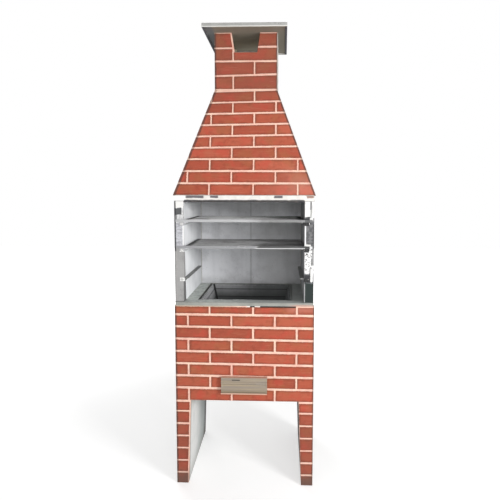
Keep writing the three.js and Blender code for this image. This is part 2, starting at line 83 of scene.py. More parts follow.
# Bond
BRICK_PITCH, COURSE, LEG_COURSE = 0.206, 0.060, 0.062
HOOD_COURSES, CHIMNEY_COURSES = 9, 4
APRON_HEAD_JOINT, UPPER_HEAD_JOINT = 0.0068, 0.0052
APRON_JOINT, LEG_JOINT, HOOD_JOINT, CHIMNEY_JOINT = 0.0088, 0.0066, 0.0067, 0.0069
HEAD_OFFSET = 0.0425  # the bond's first head joint, from the middle
HEAD_CLEAR = 0.007  # no head joint stands nearer than this to a course's end
LEG_FIRST_JOINT, LEG_JOINT_UNDER_HEAD = 0.055, 0.415
APRON_BED_TILT = 0.0024
CHIMNEY_BED_TILT, CHIMNEY_BED_LIFT = 0.0036, 0.0022
HOOD_BED_LIFT, HOOD_BED_SINK, HOOD_BED_TILT = 0.0032, 0.0040, 0.0036
LEFT_BED_DROP, RIGHT_LEG_DROP = 0.006, 0.0035

# One brick
BRICK_GRID, BRICK_CHAMFER, BRICK_ROOT = 0.014, 0.0018, 0.0048
MORTAR_SINK = 0.0022
RIM_SHARES = (1.0, 1.0, 0.7)

# Relief plates
BRICKS_TOP, LEG_HEAD = 0.8795, 0.420
STRIP_FOOT, STRIP_HEAD, LEG_BORDER = 0.051, 0.065, 0.0028
APRON_THICKNESS, SHELL_THICKNESS, CHIMNEY_THICKNESS = 0.035, 0.035, 0.033
SLOT_HALF, SLOT_FOOT, SLOT_HEAD = 0.104, 0.465, 0.5316
WINDOW_FOOT_HALF, WINDOW_HEAD_HALF, WINDOW_DEPTH, WINDOW_BORDER = 0.0545, 0.0685, 0.092, 0.006
APRON_LAP, HOOD_LAP = 0.005, 0.007  # the apron and the hood's foot reach past the side plates by this much
# Painted shade along the relief's outer edges: its width on the left and on the right, and how much more on
# the hood
EDGE_SHADE_LEFT, EDGE_SHADE_RIGHT, HOOD_EDGE_SHADE_MORE = 0.0085, 0.005, 0.0035

# Masonry lines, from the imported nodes
apron_low, apron_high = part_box("front_apron")
hood_low, hood_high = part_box("hood_front")
hood_rear_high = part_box("hood_rear")[1]
chimney_low, chimney_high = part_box("chimney_front")
chimney_rear_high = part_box("chimney_rear")[1]
slab_low, slab_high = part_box("hearth_slab")
throat_low, throat_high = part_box("throat_frame")
wall_low, wall_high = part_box("chamber_wall_right")
FRONT = apron_low.y
REAR = slab_high.y
HALF = apron_high.x
INNER = wall_low.x
BACK_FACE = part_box("back_plate_right")[0].y
REAR_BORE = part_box("chimney_rear")[0].y
CAP_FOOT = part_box("chimney_cap")[0].z
CAP_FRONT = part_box("chimney_cap")[0].y
CAP_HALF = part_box("chimney_cap")[1].x
SLAB_TOP = slab_high.z
THROAT_TOP = throat_high.z
TAB_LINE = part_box("middle_rail_left")[1].z - 0.0155
PIT_GAP = 0.010
PIT_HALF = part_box("lining_front")[1].x + PIT_GAP
PIT_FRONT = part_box("lining_front")[0].y - 0.003
PIT_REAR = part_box("lining_rear")[1].y + 0.003
LINING_REAR_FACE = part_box("lining_rear")[0].y
LINING_CORNER, LINING_LEAN = 0.2095, 0.204
LINING_JOINTS = tuple(0.0265 + 0.043 * n for n in range(4))  # down from the slab's top

# Stretches across the front: open bed joints, whose shadow is painted in dark, and a limed stretch
TOP_BED_GAP_SHADOWS = ((0.028, 0.050), (0.075, 0.245))
TOP_BED_LIME = (0.012, 0.090)
DARK_GAP_SHADOW, BROWN_GAP_SHADOW = (0.07, 0.06, 0.075), (0.3, 0.17, 0.13)
BED_GAP_SHADOWS = (
    (-0.268, -0.186, DARK_GAP_SHADOW),
    (-0.157, -0.120, DARK_GAP_SHADOW),
    (0.140, 0.180, DARK_GAP_SHADOW),
    (0.289, 0.322, BROWN_GAP_SHADOW),
)


# Node helpers


class Wiring:
    """Adds nodes to a tree and feeds their sockets with values or with other sockets."""

    def __init__(self, tree):
        self.tree = tree

    def feed(self, socket, value):
        if isinstance(value, bpy.types.Node):
            value = value.outputs[0]
        if isinstance(value, bpy.types.NodeSocket):
            self.tree.links.new(value, socket)
        else:
            socket.default_value = value

    def add(self, kind, feeds=None, **settings):
        node = self.tree.nodes.new(kind)
        for key, value in settings.items():
            setattr(node, key, value)
        for key, value in (feeds or {}).items():
            self.feed(node.inputs[key], value)
        return node

    def math(self, operation, made, *others):
        """One operation over all its terms, from left to right."""
        for other in others or (0.0,):
            made = self.add("ShaderNodeMath", {0: made, 1: other}, operation=operation).outputs[0]
        return made

    def times(self, *terms):
        return self.math("MULTIPLY", *terms)

    def plus(self, *terms):
        return self.math("ADD", *terms)

    def less(self, *terms):
        return self.math("SUBTRACT", *terms)

    def most(self, *terms):
        return self.math("MAXIMUM", *terms)

    def vector(self, operation, a, b=(0, 0, 0), scale=None):
        feeds = {0: a, 1: b} if scale is None else {0: a, "Scale": scale}
        return self.add("ShaderNodeVectorMath", feeds, operation=operation).outputs[0]

    def rise(self, value, low, high):
        """0 below low, 1 above high, smooth between; low above high turns it round."""
        feeds = {0: value, 1: low, 2: high}
        return self.add("ShaderNodeMapRange", feeds, interpolation_type="SMOOTHSTEP").outputs[0]

    def seen(self):
        """1 where the camera sees the surface, also by reflection; 0 for the light that it sends out."""
        rays = self.add("ShaderNodeLightPath").outputs
        return self.most(rays["Is Camera Ray"], rays["Is Glossy Ray"], rays["Is Transmission Ray"])


class Finish(Wiring):
    """One procedural material on Object coordinates."""

    def __init__(self, name, roughness=0.8, metallic=0.0, specular=0.5):
        self.material = bpy.data.materials.new(name)
        self.material.use_nodes = True
        super().__init__(self.material.node_tree)
        self.shader = next(n for n in self.tree.nodes if n.type == "BSDF_PRINCIPLED")
        self.shader.inputs["Roughness"].default_value = roughness
        self.shader.inputs["Metallic"].default_value = metallic
        self.shader.inputs["Specular IOR Level"].default_value = specular
        self.place = self.add("ShaderNodeTexCoord").outputs["Object"]
        self.x, self.y, self.z = self.add("ShaderNodeSeparateXYZ", {0: self.place}).outputs
        self.aside = self.math("ABSOLUTE", self.x)
        self.right = self.rise(self.x, -0.01, 0.01)
        self.left = self.less(1.0, self.right)

    def stretched(self, *scale):
        return self.add("ShaderNodeMapping", {0: self.place, "Scale": scale}).outputs[0]

    def cloud(self, scale, detail=4.0, roughness=0.55, at=None):
        feeds = {"Vector": at or self.place, "Scale": scale, "Detail": detail, "Roughness": roughness}
        return self.add("ShaderNodeTexNoise", feeds).outputs[0]

    def wavered(self, value, depth, *field):
        """A value moved up and down by half a depth, as a noise field says."""
        return self.plus(value, self.times(self.less(self.cloud(*field), 0.5), depth))

    def attribute(self, name):
        return self.add("ShaderNodeAttribute", attribute_name=name).outputs["Fac"]

    def facing_up(self):
        normal = self.add("ShaderNodeNewGeometry").outputs["True Normal"]
        return self.add("ShaderNodeSeparateXYZ", {0: normal}).outputs[2]

    def within(self, value, low, high, soft):
        foot, head = (low - soft, low + soft), (high + soft, high - soft)
        return self.times(self.rise(value, *foot), self.rise(value, *head))

    def edge_shade(self):
        """Share of the painted shade band that runs up the relief's outer edges, on the hood's slant too,
        wider on the left.
        """
        feeds = {0: self.z, 1: hood_low.z, 2: hood_high.z, 3: hood_high.x + HOOD_LAP, 4: chimney_high.x}
        half = self.add("ShaderNodeMapRange", feeds).outputs[0]
        below = self.rise(self.z, hood_low.z, hood_low.z - 0.002)
        half = self.less(half, self.times(below, HOOD_LAP - APRON_LAP))
        wider = self.times(self.rise(self.x, 0.01, -0.01), EDGE_SHADE_LEFT - EDGE_SHADE_RIGHT)
        on_hood = self.times(self.within(self.z, hood_low.z, hood_high.z, 0.001), HOOD_EDGE_SHADE_MORE)
        inset = self.less(self.wavered(self.less(half, self.aside), 0.008, 45, 3), wider, on_hood)
        return self.rise(inset, EDGE_SHADE_RIGHT + 0.0012, EDGE_SHADE_RIGHT - 0.0012)

    def splash(self):
        """Share of dirt splashed up from the floor."""
        return self.rise(self.wavered(self.z, 0.1, 14, 4), 0.09, 0.005)

    def blend(self, share, *colours):
        """Mixes two colours; a number is a grey."""
        feeds = {0: share}
        for socket, colour in zip((6, 7), colours):
            if isinstance(colour, float):
                colour = (colour, colour, colour)
            feeds[socket] = (*colour, 1) if isinstance(colour, tuple) else colour
        return self.add("ShaderNodeMix", feeds, data_type="RGBA").outputs[2]

    def stains(self, colour, *layers):
        """Lays (share, strength, tint) triples over a colour, the last one on top."""
        for share, strength, tint in layers:
            colour = self.blend(self.times(share, strength), colour, tint)
        return colour

    def steps(self, value, *stops):
        node = self.add("ShaderNodeValToRGB", {0: value})
        elements = node.color_ramp.elements
        while len(elements) < len(stops):
            elements.new(0.5)
        for element, (where, colour) in zip(elements, stops):
            element.position = where
            element.color = (*colour, 1)
        return node.outputs[0]

    def paint(self, colour, relief, roughness=None):
        """Ends the material. The relief is (height, distance in metres) pairs, coarse first."""
        normal = None
        for height, distance in relief:
            feeds = {"Height": height, "Distance": distance, "Strength": 1.0}
            if normal is not None:
                feeds["Normal"] = normal
            normal = self.add("ShaderNodeBump", feeds).outputs[0]
        self.feed(self.shader.inputs["Normal"], normal)
        self.feed(self.shader.inputs["Base Color"], colour)
        if roughness is not None:
            self.feed(self.shader.inputs["Roughness"], roughness)
        return self.material


# Finishes


def brick_finish():
    f = Finish("hand_painted_brick", specular=0.2)
    rim = f.attribute("rim")
    patch, grain, sand = f.cloud(34, 5, 0.6), f.cloud(260, 4, 0.65), f.cloud(900, 2)
    streak = f.cloud(1, 5, 0.6, f.stretched(14, 14, 150))
    elsewhere = f.vector("ADD", f.place, (3.1, 3.1, 3.1))
    fired = f.steps(
        f.attribute("tone"),
        (0.0, (0.34, 0.076, 0.043)),
        (0.35, (0.39, 0.082, 0.046)),
        (0.7, (0.42, 0.096, 0.053)),
        (1.0, (0.46, 0.112, 0.063)),
    )
    hood_foot = f.times(f.within(f.z, THROAT_TOP - 0.02, THROAT_TOP + 0.12, 0.05), f.rise(f.x, 0.02, 0.3))
    under_slab = f.within(f.z, BRICKS_TOP - 0.025, BRICKS_TOP + 0.02, 0.012)
    apron_head = f.times(under_slab, f.rise(f.x, 0.17, 0.23))
    faded = f.times(f.most(hood_foot, apron_head), f.rise(f.cloud(7, 3), 0.1, 0.8))
    # painted shadow under the slab's lip: the bricks' top edges darkened below the open stretches of the
    # bed joint
    under_bed = f.within(f.z, BRICKS_TOP - 0.0026, BRICKS_TOP + 0.004, 0.0006)
    soot_and_shadow = [f.times(under_bed, f.within(f.x, low, high, 0.002)) for low, high in TOP_BED_GAP_SHADOWS]
    colour = f.stains(
        fired,
        (f.rise(f.cloud(13, 2), 0.5, 0.66), 0.55, (0.5, 0.07, 0.045)),
        (f.rise(f.cloud(11, 2, 0.5, elsewhere), 0.5, 0.66), 0.55, (0.34, 0.115, 0.05)),
        (f.rise(patch, 0.5, 0.72), 0.5, (0.26, 0.055, 0.032)),
        (f.rise(streak, 0.52, 0.74), 0.35, (0.54, 0.19, 0.12)),
        (f.rise(grain, 0.6, 0.72), 0.3, (0.58, 0.29, 0.21)),
        # painted shade along each brick's chamfered rim
        (f.rise(f.wavered(rim, 1.2, 30, 3), 0.1, 0.75), 0.62, (0.2, 0.058, 0.034)),
        (f.rise(f.wavered(rim, 0.9, 120, 4), 0.8, 0.98), 0.8, (0.72, 0.48, 0.38)),
        # painted shade: the bricks darker up the chimney and down the legs
        (f.most(f.rise(f.z, 1.75, 1.95), f.rise(f.z, 0.42, 0.25)), 0.42, (0.19, 0.068, 0.045)),
        (faded, 0.4, (0.62, 0.29, 0.22)),
        # painted shade along the relief's outer edges
        (f.edge_shade(), 0.75, (0.085, 0.05, 0.042)),
        *((share, 0.9, (0.03, 0.02, 0.018)) for share in soot_and_shadow),
        (f.splash(), 0.75, (0.12, 0.085, 0.07)),
    )
    return f.paint(colour, [(patch, 0.0006), (grain, 0.0005), (sand, 0.00015)], f.rise(grain, -0.9, 1.1))


def joint_finish():
    """Cream pointing on the plate's face, bare cement on its edges and back."""
    f = Finish("cream_pointing", 0.85, specular=0.2)
    patch, grain, sand = f.cloud(26, 4), f.cloud(210, 4, 0.65), f.cloud(800, 2)
    above_bricks = f.rise(f.z, BRICKS_TOP - 0.0035, BRICKS_TOP - 0.0005)
    top_bed = f.times(above_bricks, f.rise(f.z, apron_high.z + 0.002, apron_high.z + 0.001))
    along = f.wavered(f.x, 0.008, 60, 3)
    # painted shadow in the open stretches of the top bed joint
    gap_shadows = [f.times(top_bed, f.within(along, low, high, 0.001)) for low, high in TOP_BED_GAP_SHADOWS]
    cream = f.stains(
        f.blend(f.rise(patch, 0.35, 0.7), (0.88, 0.6, 0.49), (0.8, 0.46, 0.37)),
        (f.rise(f.cloud(9, 3), 0.5, 0.62), 0.5, (0.92, 0.7, 0.54)),
        (f.rise(grain, 0.55, 0.7), 0.45, (0.6, 0.34, 0.26)),
        # painted shade: the pointing darker up the chimney
        (f.rise(f.z, 1.75, 1.95), 0.25, (0.5, 0.27, 0.2)),
        (f.splash(), 0.6, (0.3, 0.19, 0.15)),
        # painted shade along the relief's outer edges, on the pointing too
        (f.edge_shade(), 0.5, (0.16, 0.1, 0.08)),
        (f.times(top_bed, f.within(along, *TOP_BED_LIME, 0.002)), 0.9, (0.86, 0.84, 0.8)),
        (f.times(top_bed, f.rise(along, 0.0, -0.12)), 0.85, (0.47, 0.4, 0.31)),
        *((share, 0.97, (0.012, 0.011, 0.011)) for share in gap_shadows),
    )
    cement = f.blend(patch, (0.42, 0.4, 0.37), (0.52, 0.5, 0.47))
    colour = f.blend(f.rise(f.attribute("front"), 0.4, 0.6), cement, cream)
    return f.paint(colour, [(patch, 0.0006), (grain, 0.0006), (sand, 0.0002)])


def shade(colour, factor):
    return tuple(min(1, factor * c) for c in colour)


def cement_base(f, light=(0.45, 0.44, 0.41), dark=(0.32, 0.31, 0.29)):
    """Cast cement: broad clouds, runs of water, sand and blowholes. Returns colour and relief."""
    f.shader.inputs["Specular IOR Level"].default_value = 0.25
    patch, runs = f.cloud(15, 6, 0.62), f.cloud(1, 5, 0.6, f.stretched(16, 16, 1.4))
    grain, sand = f.cloud(190, 5, 0.65), f.cloud(700, 2)
    pits = f.add("ShaderNodeTexVoronoi", {"Vector": f.place, "Scale": 95}).outputs[0]
    holes = f.times(f.rise(pits, 0.16, 0.1), f.rise(f.cloud(22, 2), 0.5, 0.62))
    colour = f.stains(
        f.blend(f.rise(f.cloud(3.2, 4), 0.3, 0.7), light, dark),
        (f.rise(patch, 0.42, 0.7), 0.5, shade(dark, 0.72)),
        (f.rise(runs, 0.52, 0.75), 0.4, shade(dark, 0.66)),
        (f.rise(grain, 0.5, 0.75), 0.3, shade(light, 1.3)),
        (holes, 0.75, shade(dark, 0.3)),
    )
    return colour, [(patch, 0.0012), (f.times(holes, -1.0), 0.0012), (grain, 0.0006), (sand, 0.0002)]


def plain_cement():
    f = Finish("cast_cement", 0.88)
    colour, relief = cement_base(f)
    # painted light: the flue's inner faces pale up by the smoke window
    flue_painted_light = f.times(f.rise(f.aside, 0.1185, 0.1178), f.rise(f.z, 1.85, 1.95))
    flue_painted_light = f.times(flue_painted_light, f.rise(f.y, REAR_BORE + 0.002, REAR_BORE + 0.0005))
    colour = f.stains(colour, (flue_painted_light, 0.9, (0.85, 0.78, 0.62)), (f.splash(), 0.5, (0.17, 0.15, 0.125)))
    return f.paint(colour, relief)


def cap_finish():
    """Cap: pale top and front, soot and painted shade underneath, painted light over the flue, and painted
    shade on the drip rim.
    """
    f = Finish("cap_cement", 0.88)
    colour, relief = cement_base(f, (0.43, 0.43, 0.415), (0.35, 0.35, 0.335))
    up = f.facing_up()
    below = f.rise(up, -0.2, -0.8)
    # soot and painted shade underneath, darker at the left end
    tar = f.stains(
        f.blend(f.cloud(9, 5), (0.27, 0.24, 0.185), (0.21, 0.19, 0.15)),
        (f.rise(f.x, -0.14, -0.16), 0.8, (0.13, 0.14, 0.155)),
    )
    cap_flue_painted_light = f.times(f.rise(f.aside, 0.125, 0.115), f.rise(f.y, chimney_low.y + 0.02, REAR_BORE - 0.02))
    rim = f.times(f.rise(f.aside, CAP_HALF - 0.0115, CAP_HALF - 0.0095), f.rise(up, 0.5, 0.2))
    rim = f.times(rim, f.rise(f.y, CAP_FRONT + 0.0005, CAP_FRONT + 0.003))
    colour = f.stains(
        colour,
        (f.within(f.z, CAP_FOOT - 0.001, CAP_FOOT + 0.0055, 0.001), 0.8, (0.82, 0.81, 0.77)),
        (below, 0.95, tar),
        # painted light on the underside over the flue
        (f.times(cap_flue_painted_light, below), 0.85, (0.62, 0.57, 0.45)),
        # painted shade on the drip rim
        (rim, 0.9, (0.075, 0.075, 0.09)),
    )
    return f.paint(colour, relief)


def panel_finish():
    """Side panels: limewash on the legs' inner faces, with painted shade darker to the back and over the
    right leg's inner face, and bare cement outside.
    """
    f = Finish("limewashed_panel", 0.88)
    colour, relief = cement_base(f)
    ragged = f.wavered(f.y, 0.06, 9, 3)
    wash = f.stains(
        f.blend(f.rise(f.cloud(14, 5), 0.35, 0.75), (0.86, 0.865, 0.85), (0.76, 0.78, 0.765)),
        # painted shade: darker to the back
        (f.rise(ragged, -0.08, 0.15), 0.75, (0.34, 0.375, 0.37)),
        (f.rise(ragged, 0.15, 0.24), 0.85, (0.12, 0.118, 0.12)),
        (f.rise(f.z, 0.33, 0.41), 0.55, (0.4, 0.37, 0.33)),
        # painted shade over the right leg's inner face
        (f.right, 0.92, (0.12, 0.085, 0.078)),
    )
    inside = f.times(f.rise(f.aside, HALF - 0.004, HALF - 0.012), f.rise(f.y, REAR - 0.0005, REAR - 0.003))
    rubbed = f.rise(f.cloud(30, 5, 0.65), 0.76, 0.66)
    colour = f.stains(colour, (inside, rubbed, wash), (f.splash(), 0.3, (0.2, 0.18, 0.15)))
    return f.paint(colour, relief)


def column_finish():
    """Chamber walls: limewash inside, darker to the back and on the right wall as painted shade, and front
    faces whose paint is worn off patch by patch, with painted shade along their outer edges and a dark foot
    line, a joint with painted shadow.
    """
    f = Finish("chamber_wall", 0.86)
    colour, relief = cement_base(f, (0.4, 0.395, 0.39), (0.33, 0.325, 0.32))
    ragged = f.less(f.cloud(55, 5, 0.65), 0.5)
    level = f.cloud(1, 4, 0.6, f.stretched(50, 50, 260))
    white, soot = (0.82, 0.81, 0.79), (0.045, 0.045, 0.048)
    worn = f.blend(f.rise(f.cloud(150, 4, 0.6), 0.4, 0.62), 0.7, (0.5, 0.5, 0.51))
    streaked = f.blend(f.rise(level, 0.46, 0.6), (0.56, 0.565, 0.6), (0.36, 0.36, 0.385))
    mottled = f.blend(f.rise(f.cloud(70, 5, 0.6), 0.42, 0.6), (0.1, 0.1, 0.103), (0.19, 0.19, 0.195))
    speckled = f.blend(f.rise(f.cloud(130, 3), 0.55, 0.61), (0.79, 0.785, 0.775), 0.09)
    # Patches: from and to height, from and to distance from the middle, paint and cover
    left_patches = (
        (1.275, 1.420, INNER, HALF, worn, 0.95),
        (1.345, 1.420, INNER, HALF, white, 1.0),
        (1.312, 1.344, 0.2905, HALF, (0.075, 0.077, 0.08), 0.95),
        (1.284, 1.314, 0.3130, 0.3165, soot, 0.8),
        (1.165, 1.274, INNER, HALF, streaked, 0.95),
        # painted shade along the outer edge
        (1.140, 1.420, HALF - 0.0075, HALF, soot, 0.9),
        (0.900, 1.140, HALF - 0.0035, HALF, soot, 0.45),
        (1.172, 1.274, INNER - 0.001, INNER + 0.0055, 0.87, 0.95),
        (0.900, 1.005, INNER - 0.001, INNER + 0.0028, soot, 0.6),
        # dark line at the foot: a joint with painted shadow
        (0.895, 0.9055, INNER, HALF, soot, 0.7),
    )
    right_patches = (
        (0.990, 1.420, INNER, HALF, (0.13, 0.135, 0.14), 1.0),
        (1.300, 1.420, INNER, HALF, white, 1.0),
        (1.338, 1.385, 0.3040, 0.3140, 0.3, 0.75),
        (1.305, 1.372, 0.3080, 0.3125, soot, 0.85),
        (1.320, 1.365, 0.3150, 0.3190, 0.5, 0.6),
        (1.272, 1.304, INNER + 0.001, 0.3115, soot, 0.9),
        (1.284, 1.301, 0.3050, 0.3210, white, 0.95),
        (1.268, 1.277, INNER, 0.3050, white, 0.9),
        (1.172, 1.270, INNER, HALF, mottled, 1.0),
        # painted shade along the outer edge
        (1.140, 1.270, HALF - 0.0050, HALF, (0.035, 0.035, 0.037), 0.9),
        (1.172, 1.272, INNER - 0.001, INNER + 0.0062, 0.86, 0.95),
        (1.040, 1.152, INNER, HALF, speckled, 1.0),
        (1.080, 1.160, 0.3165, HALF, (0.2, 0.2, 0.202), 0.8),
        (1.150, 1.176, INNER, 0.3100, white, 0.95),
        (1.076, 1.112, 0.3125, 0.3165, soot, 0.85),
        (1.030, 1.068, 0.3060, 0.3100, soot, 0.8),
        (1.146, 1.163, INNER + 0.002, 0.3045, 0.012, 1.0),
        (1.127, 1.135, 0.2885, 0.2955, 0.02, 1.0),
        (0.998, 1.034, INNER, 0.3090, soot, 0.95),
        (1.004, 1.056, 0.3100, 0.3215, white, 0.95),
        (0.890, 0.996, INNER, HALF, (0.028, 0.037, 0.035), 1.0),
        (0.905, 0.992, INNER - 0.001, INNER + 0.0035, 0.5, 0.75),
    )
    face = colour
    for side, patches in ((f.left, left_patches), (f.right, right_patches)):
        for low, high, near, far, paint, cover in patches:
            rough = min(1.0, (high - low) / 0.06)
            rough_across = min(rough, (far - near) / 0.02)
            height = f.within(f.plus(f.z, f.times(ragged, 0.03 * rough)), low, high, 0.0015)
            reach = f.within(f.plus(f.aside, f.times(ragged, 0.01 * rough_across)), near, far, 0.0008)
            face = f.stains(face, (f.times(height, reach, side), cover, paint))
    front = f.rise(f.y, FRONT + 0.002, FRONT + 0.0005)
    lap = f.less(f.y, f.less(FRONT + 0.012, f.times(f.less(f.z, 1.3), 0.07)))
    wash = f.stains(
        f.blend(f.rise(f.cloud(10, 5), 0.35, 0.75), (0.93, 0.94, 0.955), (0.8, 0.81, 0.83)),
        (f.rise(f.wavered(f.z, 0.2, 6, 5), 1.28, 1.46), 0.4, (0.22, 0.22, 0.21)),
        # painted shade: darker to the back
        (f.rise(f.wavered(f.y, 0.1, 5, 3), FRONT + 0.16, BACK_FACE - 0.02), 0.5, (0.36, 0.37, 0.385)),
        (f.rise(lap, 0.002, -0.002), f.left, face),
        # painted shade over the right wall's inner face
        (f.right, 0.75, (0.2, 0.2, 0.205)),
    )
    inner = f.rise(f.aside, INNER + 0.0006, INNER + 0.0002)
    colour = f.stains(colour, (front, 1.0, face), (inner, f.less(1.0, front), wash))
    return f.paint(colour, relief)


def back_finish():
    """Back plates: grey refractory cement, darker towards the throat from smoke and painted shade, painted
    shade over the right part, and painted shade in the seam in the middle.
    """
    f = Finish("smoked_back", 0.85)
    colour, relief = cement_base(f, (0.88, 0.885, 0.91), (0.78, 0.785, 0.81))
    outer = cement_base(f)[0]
    smoke = f.wavered(f.z, 0.16, 5, 5)
    # painted shade over the right part, less of it near the top
    right_shade = f.times(f.rise(f.wavered(f.x, 0.12, 3, 3), -0.03, 0.1), f.less(0.5, f.rise(smoke, 1.2, 1.38)))
    colour = f.stains(
        colour,
        # smoke and painted shade towards the throat
        (f.rise(smoke, 1.25, 1.38), 0.4, (0.26, 0.265, 0.26)),
        (f.most(right_shade, 0.0), 1.0, (0.3, 0.302, 0.3)),
        (f.rise(smoke, 0.95, 0.9), 0.35, 0.16),
        # painted shade in the seam
        (f.rise(f.wavered(f.aside, 0.003, 60, 3), 0.0045, 0.001), 0.35, (0.13, 0.13, 0.125)),
        (f.rise(f.y, BACK_FACE + 0.004, BACK_FACE + 0.02), 1.0, outer),
    )
    return f.paint(colour, relief)


def throat_finish():
    """Throat frame: limewashed front edge with painted shadow in open stretches of the bed joint above it
    and along its lower edge, sooty inside.
    """
    f = Finish("limewashed_lintel", 0.85)
    colour, relief = cement_base(f)
    along, level = f.wavered(f.x, 0.012, 60, 3), f.wavered(f.z, 0.006, 40, 3)
    in_bed = f.rise(level, THROAT_TOP - 0.013, THROAT_TOP - 0.009)
    # painted shadow in the open stretches of the bed joint above the lintel
    gap_shadows = [
        (f.times(f.within(along, low, high, 0.003), in_bed), 0.88, tint) for low, high, tint in BED_GAP_SHADOWS
    ]
    # painted shadow along the lintel's lower edge, between the walls
    lintel_foot_shadow = f.times(
        f.rise(level, throat_low.z + 0.0052, throat_low.z + 0.0038),
        f.rise(along, INNER, INNER - 0.004),
        f.rise(along, -INNER, -INNER + 0.004),
    )
    wash = f.stains(
        f.blend(f.rise(f.cloud(30, 5, 0.6), 0.35, 0.7), (0.8, 0.775, 0.735), (0.7, 0.675, 0.635)),
        (f.rise(f.x, -0.262, -0.28), 0.85, (0.93, 0.93, 0.92)),
        *gap_shadows,
        (lintel_foot_shadow, 0.9, (0.05, 0.05, 0.052)),
    )
    soot_and_shadow = f.times(
        f.rise(f.y, FRONT + 0.004, FRONT + 0.012),
        f.rise(f.y, REAR - 0.002, REAR - 0.006),
        f.rise(f.aside, HALF - 0.001, HALF - 0.004),
    )
    front = f.rise(f.y, FRONT + 0.012, FRONT + 0.004)
    colour = f.stains(colour, (soot_and_shadow, 0.8, (0.12, 0.115, 0.11)), (front, 1.0, wash))
    return f.paint(colour, relief)


def slab_finish():
    """Hearth slab: pale front edge and left ledge, painted shade darkening the top to the right, and soot
    and painted shade on the pit's inner sides.
    """
    f = Finish("hearth_cement", 0.8)
    colour, relief = cement_base(f, (0.37, 0.375, 0.345), (0.3, 0.305, 0.28))
    up = f.facing_up()
    worn = f.stains(
        (0.66, 0.7, 0.66),
        (f.rise(f.cloud(45, 6, 0.65), 0.42, 0.66), 0.65, (0.34, 0.365, 0.35)),
        # painted shade: the top darker to the right
        (f.rise(f.wavered(f.x, 0.1, 5, 4), -0.21, 0.15), 0.75, (0.27, 0.28, 0.275)),
        (f.rise(f.y, PIT_FRONT + 0.005, PIT_FRONT - 0.01), 0.3, (0.66, 0.69, 0.67)),
    )
    smear = f.times(
        f.rise(f.wavered(f.z, 0.014, 30, 3), SLAB_TOP - 0.005, SLAB_TOP - 0.011),
        f.rise(f.x, 0.2, 0.245),
        f.rise(f.y, FRONT + 0.002, FRONT + 0.001),
    )
    pit = f.times(f.within(f.x, -PIT_HALF, PIT_HALF, 0.002), f.within(f.y, PIT_FRONT, PIT_REAR, 0.001))
    colour = f.stains(
        colour,
        (f.rise(up, 0.8, 0.95), 1.0, worn),
        (smear, 0.75, (0.55, 0.33, 0.27)),
        # soot and painted shade on the pit's inner sides
        (f.times(pit, f.rise(up, 0.7, 0.5), f.rise(f.x, 0.2, 0.1)), 0.8, 0.05),
    )
    return f.paint(colour, relief)


def lining_finish():
    """Fire pit lining: refractory burnt pale on the rim, black below from soot and painted shade, and
    painted shade to the right.
    """
    f = Finish("burnt_lining", 0.9)
    colour, relief = cement_base(f, (0.4, 0.4, 0.41), (0.28, 0.28, 0.29))
    mottle = f.rise(f.cloud(50, 6, 0.65), 0.42, 0.66)
    corner = f.plus(f.x, f.times(f.less(f.z, SLAB_TOP), LINING_LEAN))
    corner = f.within(corner, -LINING_CORNER - 0.002, -LINING_CORNER + 0.0085, 0.0006)
    behind = f.rise(f.y, LINING_REAR_FACE - 0.011, LINING_REAR_FACE - 0.008)
    beds = [SLAB_TOP - drop for drop in LINING_JOINTS]
    colour = f.stains(
        colour,
        (f.times(f.rise(f.z, 0.893, 0.8955), mottle), 0.7, (0.75, 0.76, 0.74)),
        # soot and painted shade: black deeper in the pit
        (f.rise(f.wavered(f.z, 0.06, 8, 5), 0.885, 0.81), 1.0, (0.11, 0.115, 0.115)),
        # painted shade: darker to the right
        (f.rise(f.wavered(f.x, 0.1, 4, 3), -0.07, 0.09), 0.8, (0.1, 0.108, 0.105)),
        (f.times(corner, behind), 0.92, 0.02),
        (f.most(*(f.within(f.z, bed - 0.0025, bed + 0.0025, 0.0006) for bed in beds)), 0.75, 0.03),
    )
    return f.paint(colour, relief)


def black_steel():
    """Heat-blackened rails; the tabs folded over the columns keep their bright zinc."""
    f = Finish("blackened_rail", 0.5, 0.3)
    patch, grain = f.cloud(40, 5, 0.6), f.cloud(300, 4)
    upper, lower = f.rise(f.z, 1.05, 1.1), f.rise(f.z, 1.1, 1.05)
    dull = f.blend(f.within(f.z, TAB_LINE, TAB_LINE + 0.003, 0.0005), (0.4, 0.4, 0.41), 0.8)
    burnt = f.blend(f.rise(f.cloud(170, 3), 0.64, 0.7), 0.008, (0.6, 0.59, 0.57))
    bright = f.stains(
        f.blend(f.rise(patch, 0.45, 0.7), (0.85, 0.85, 0.83), (0.6, 0.6, 0.58)),
        (upper, 1.0, dull),
        (f.right, 1.0, burnt),
    )
    dark = f.stains(
        f.blend(f.rise(f.cloud(90, 4, 0.6), 0.42, 0.6), (0.08, 0.088, 0.086), (0.21, 0.21, 0.2)),
        (f.right, 0.8, 0.1),
        (lower, f.plus(f.times(f.right, 0.55), 0.3), (0.3, 0.305, 0.3)),
        (f.times(upper, f.left), 0.85, (0.75, 0.76, 0.775)),
    )
    tab = f.rise(f.y, FRONT + 0.001, FRONT - 0.0002)
    return f.paint(f.blend(tab, dark, bright), [(patch, 0.0003), (grain, 0.0001)], f.rise(grain, -0.4, 1.3))


def runner_steel():
    f = Finish("black_runner", 0.5, 0.4)
    patch, grain = f.cloud(40, 5, 0.6), f.cloud(300, 4)
    colour = f.blend(f.rise(patch, 0.4, 0.7), (0.03, 0.028, 0.032), (0.07, 0.055, 0.05))
    return f.paint(colour, [(patch, 0.0003), (grain, 0.0001)], f.rise(grain, -0.4, 1.3))


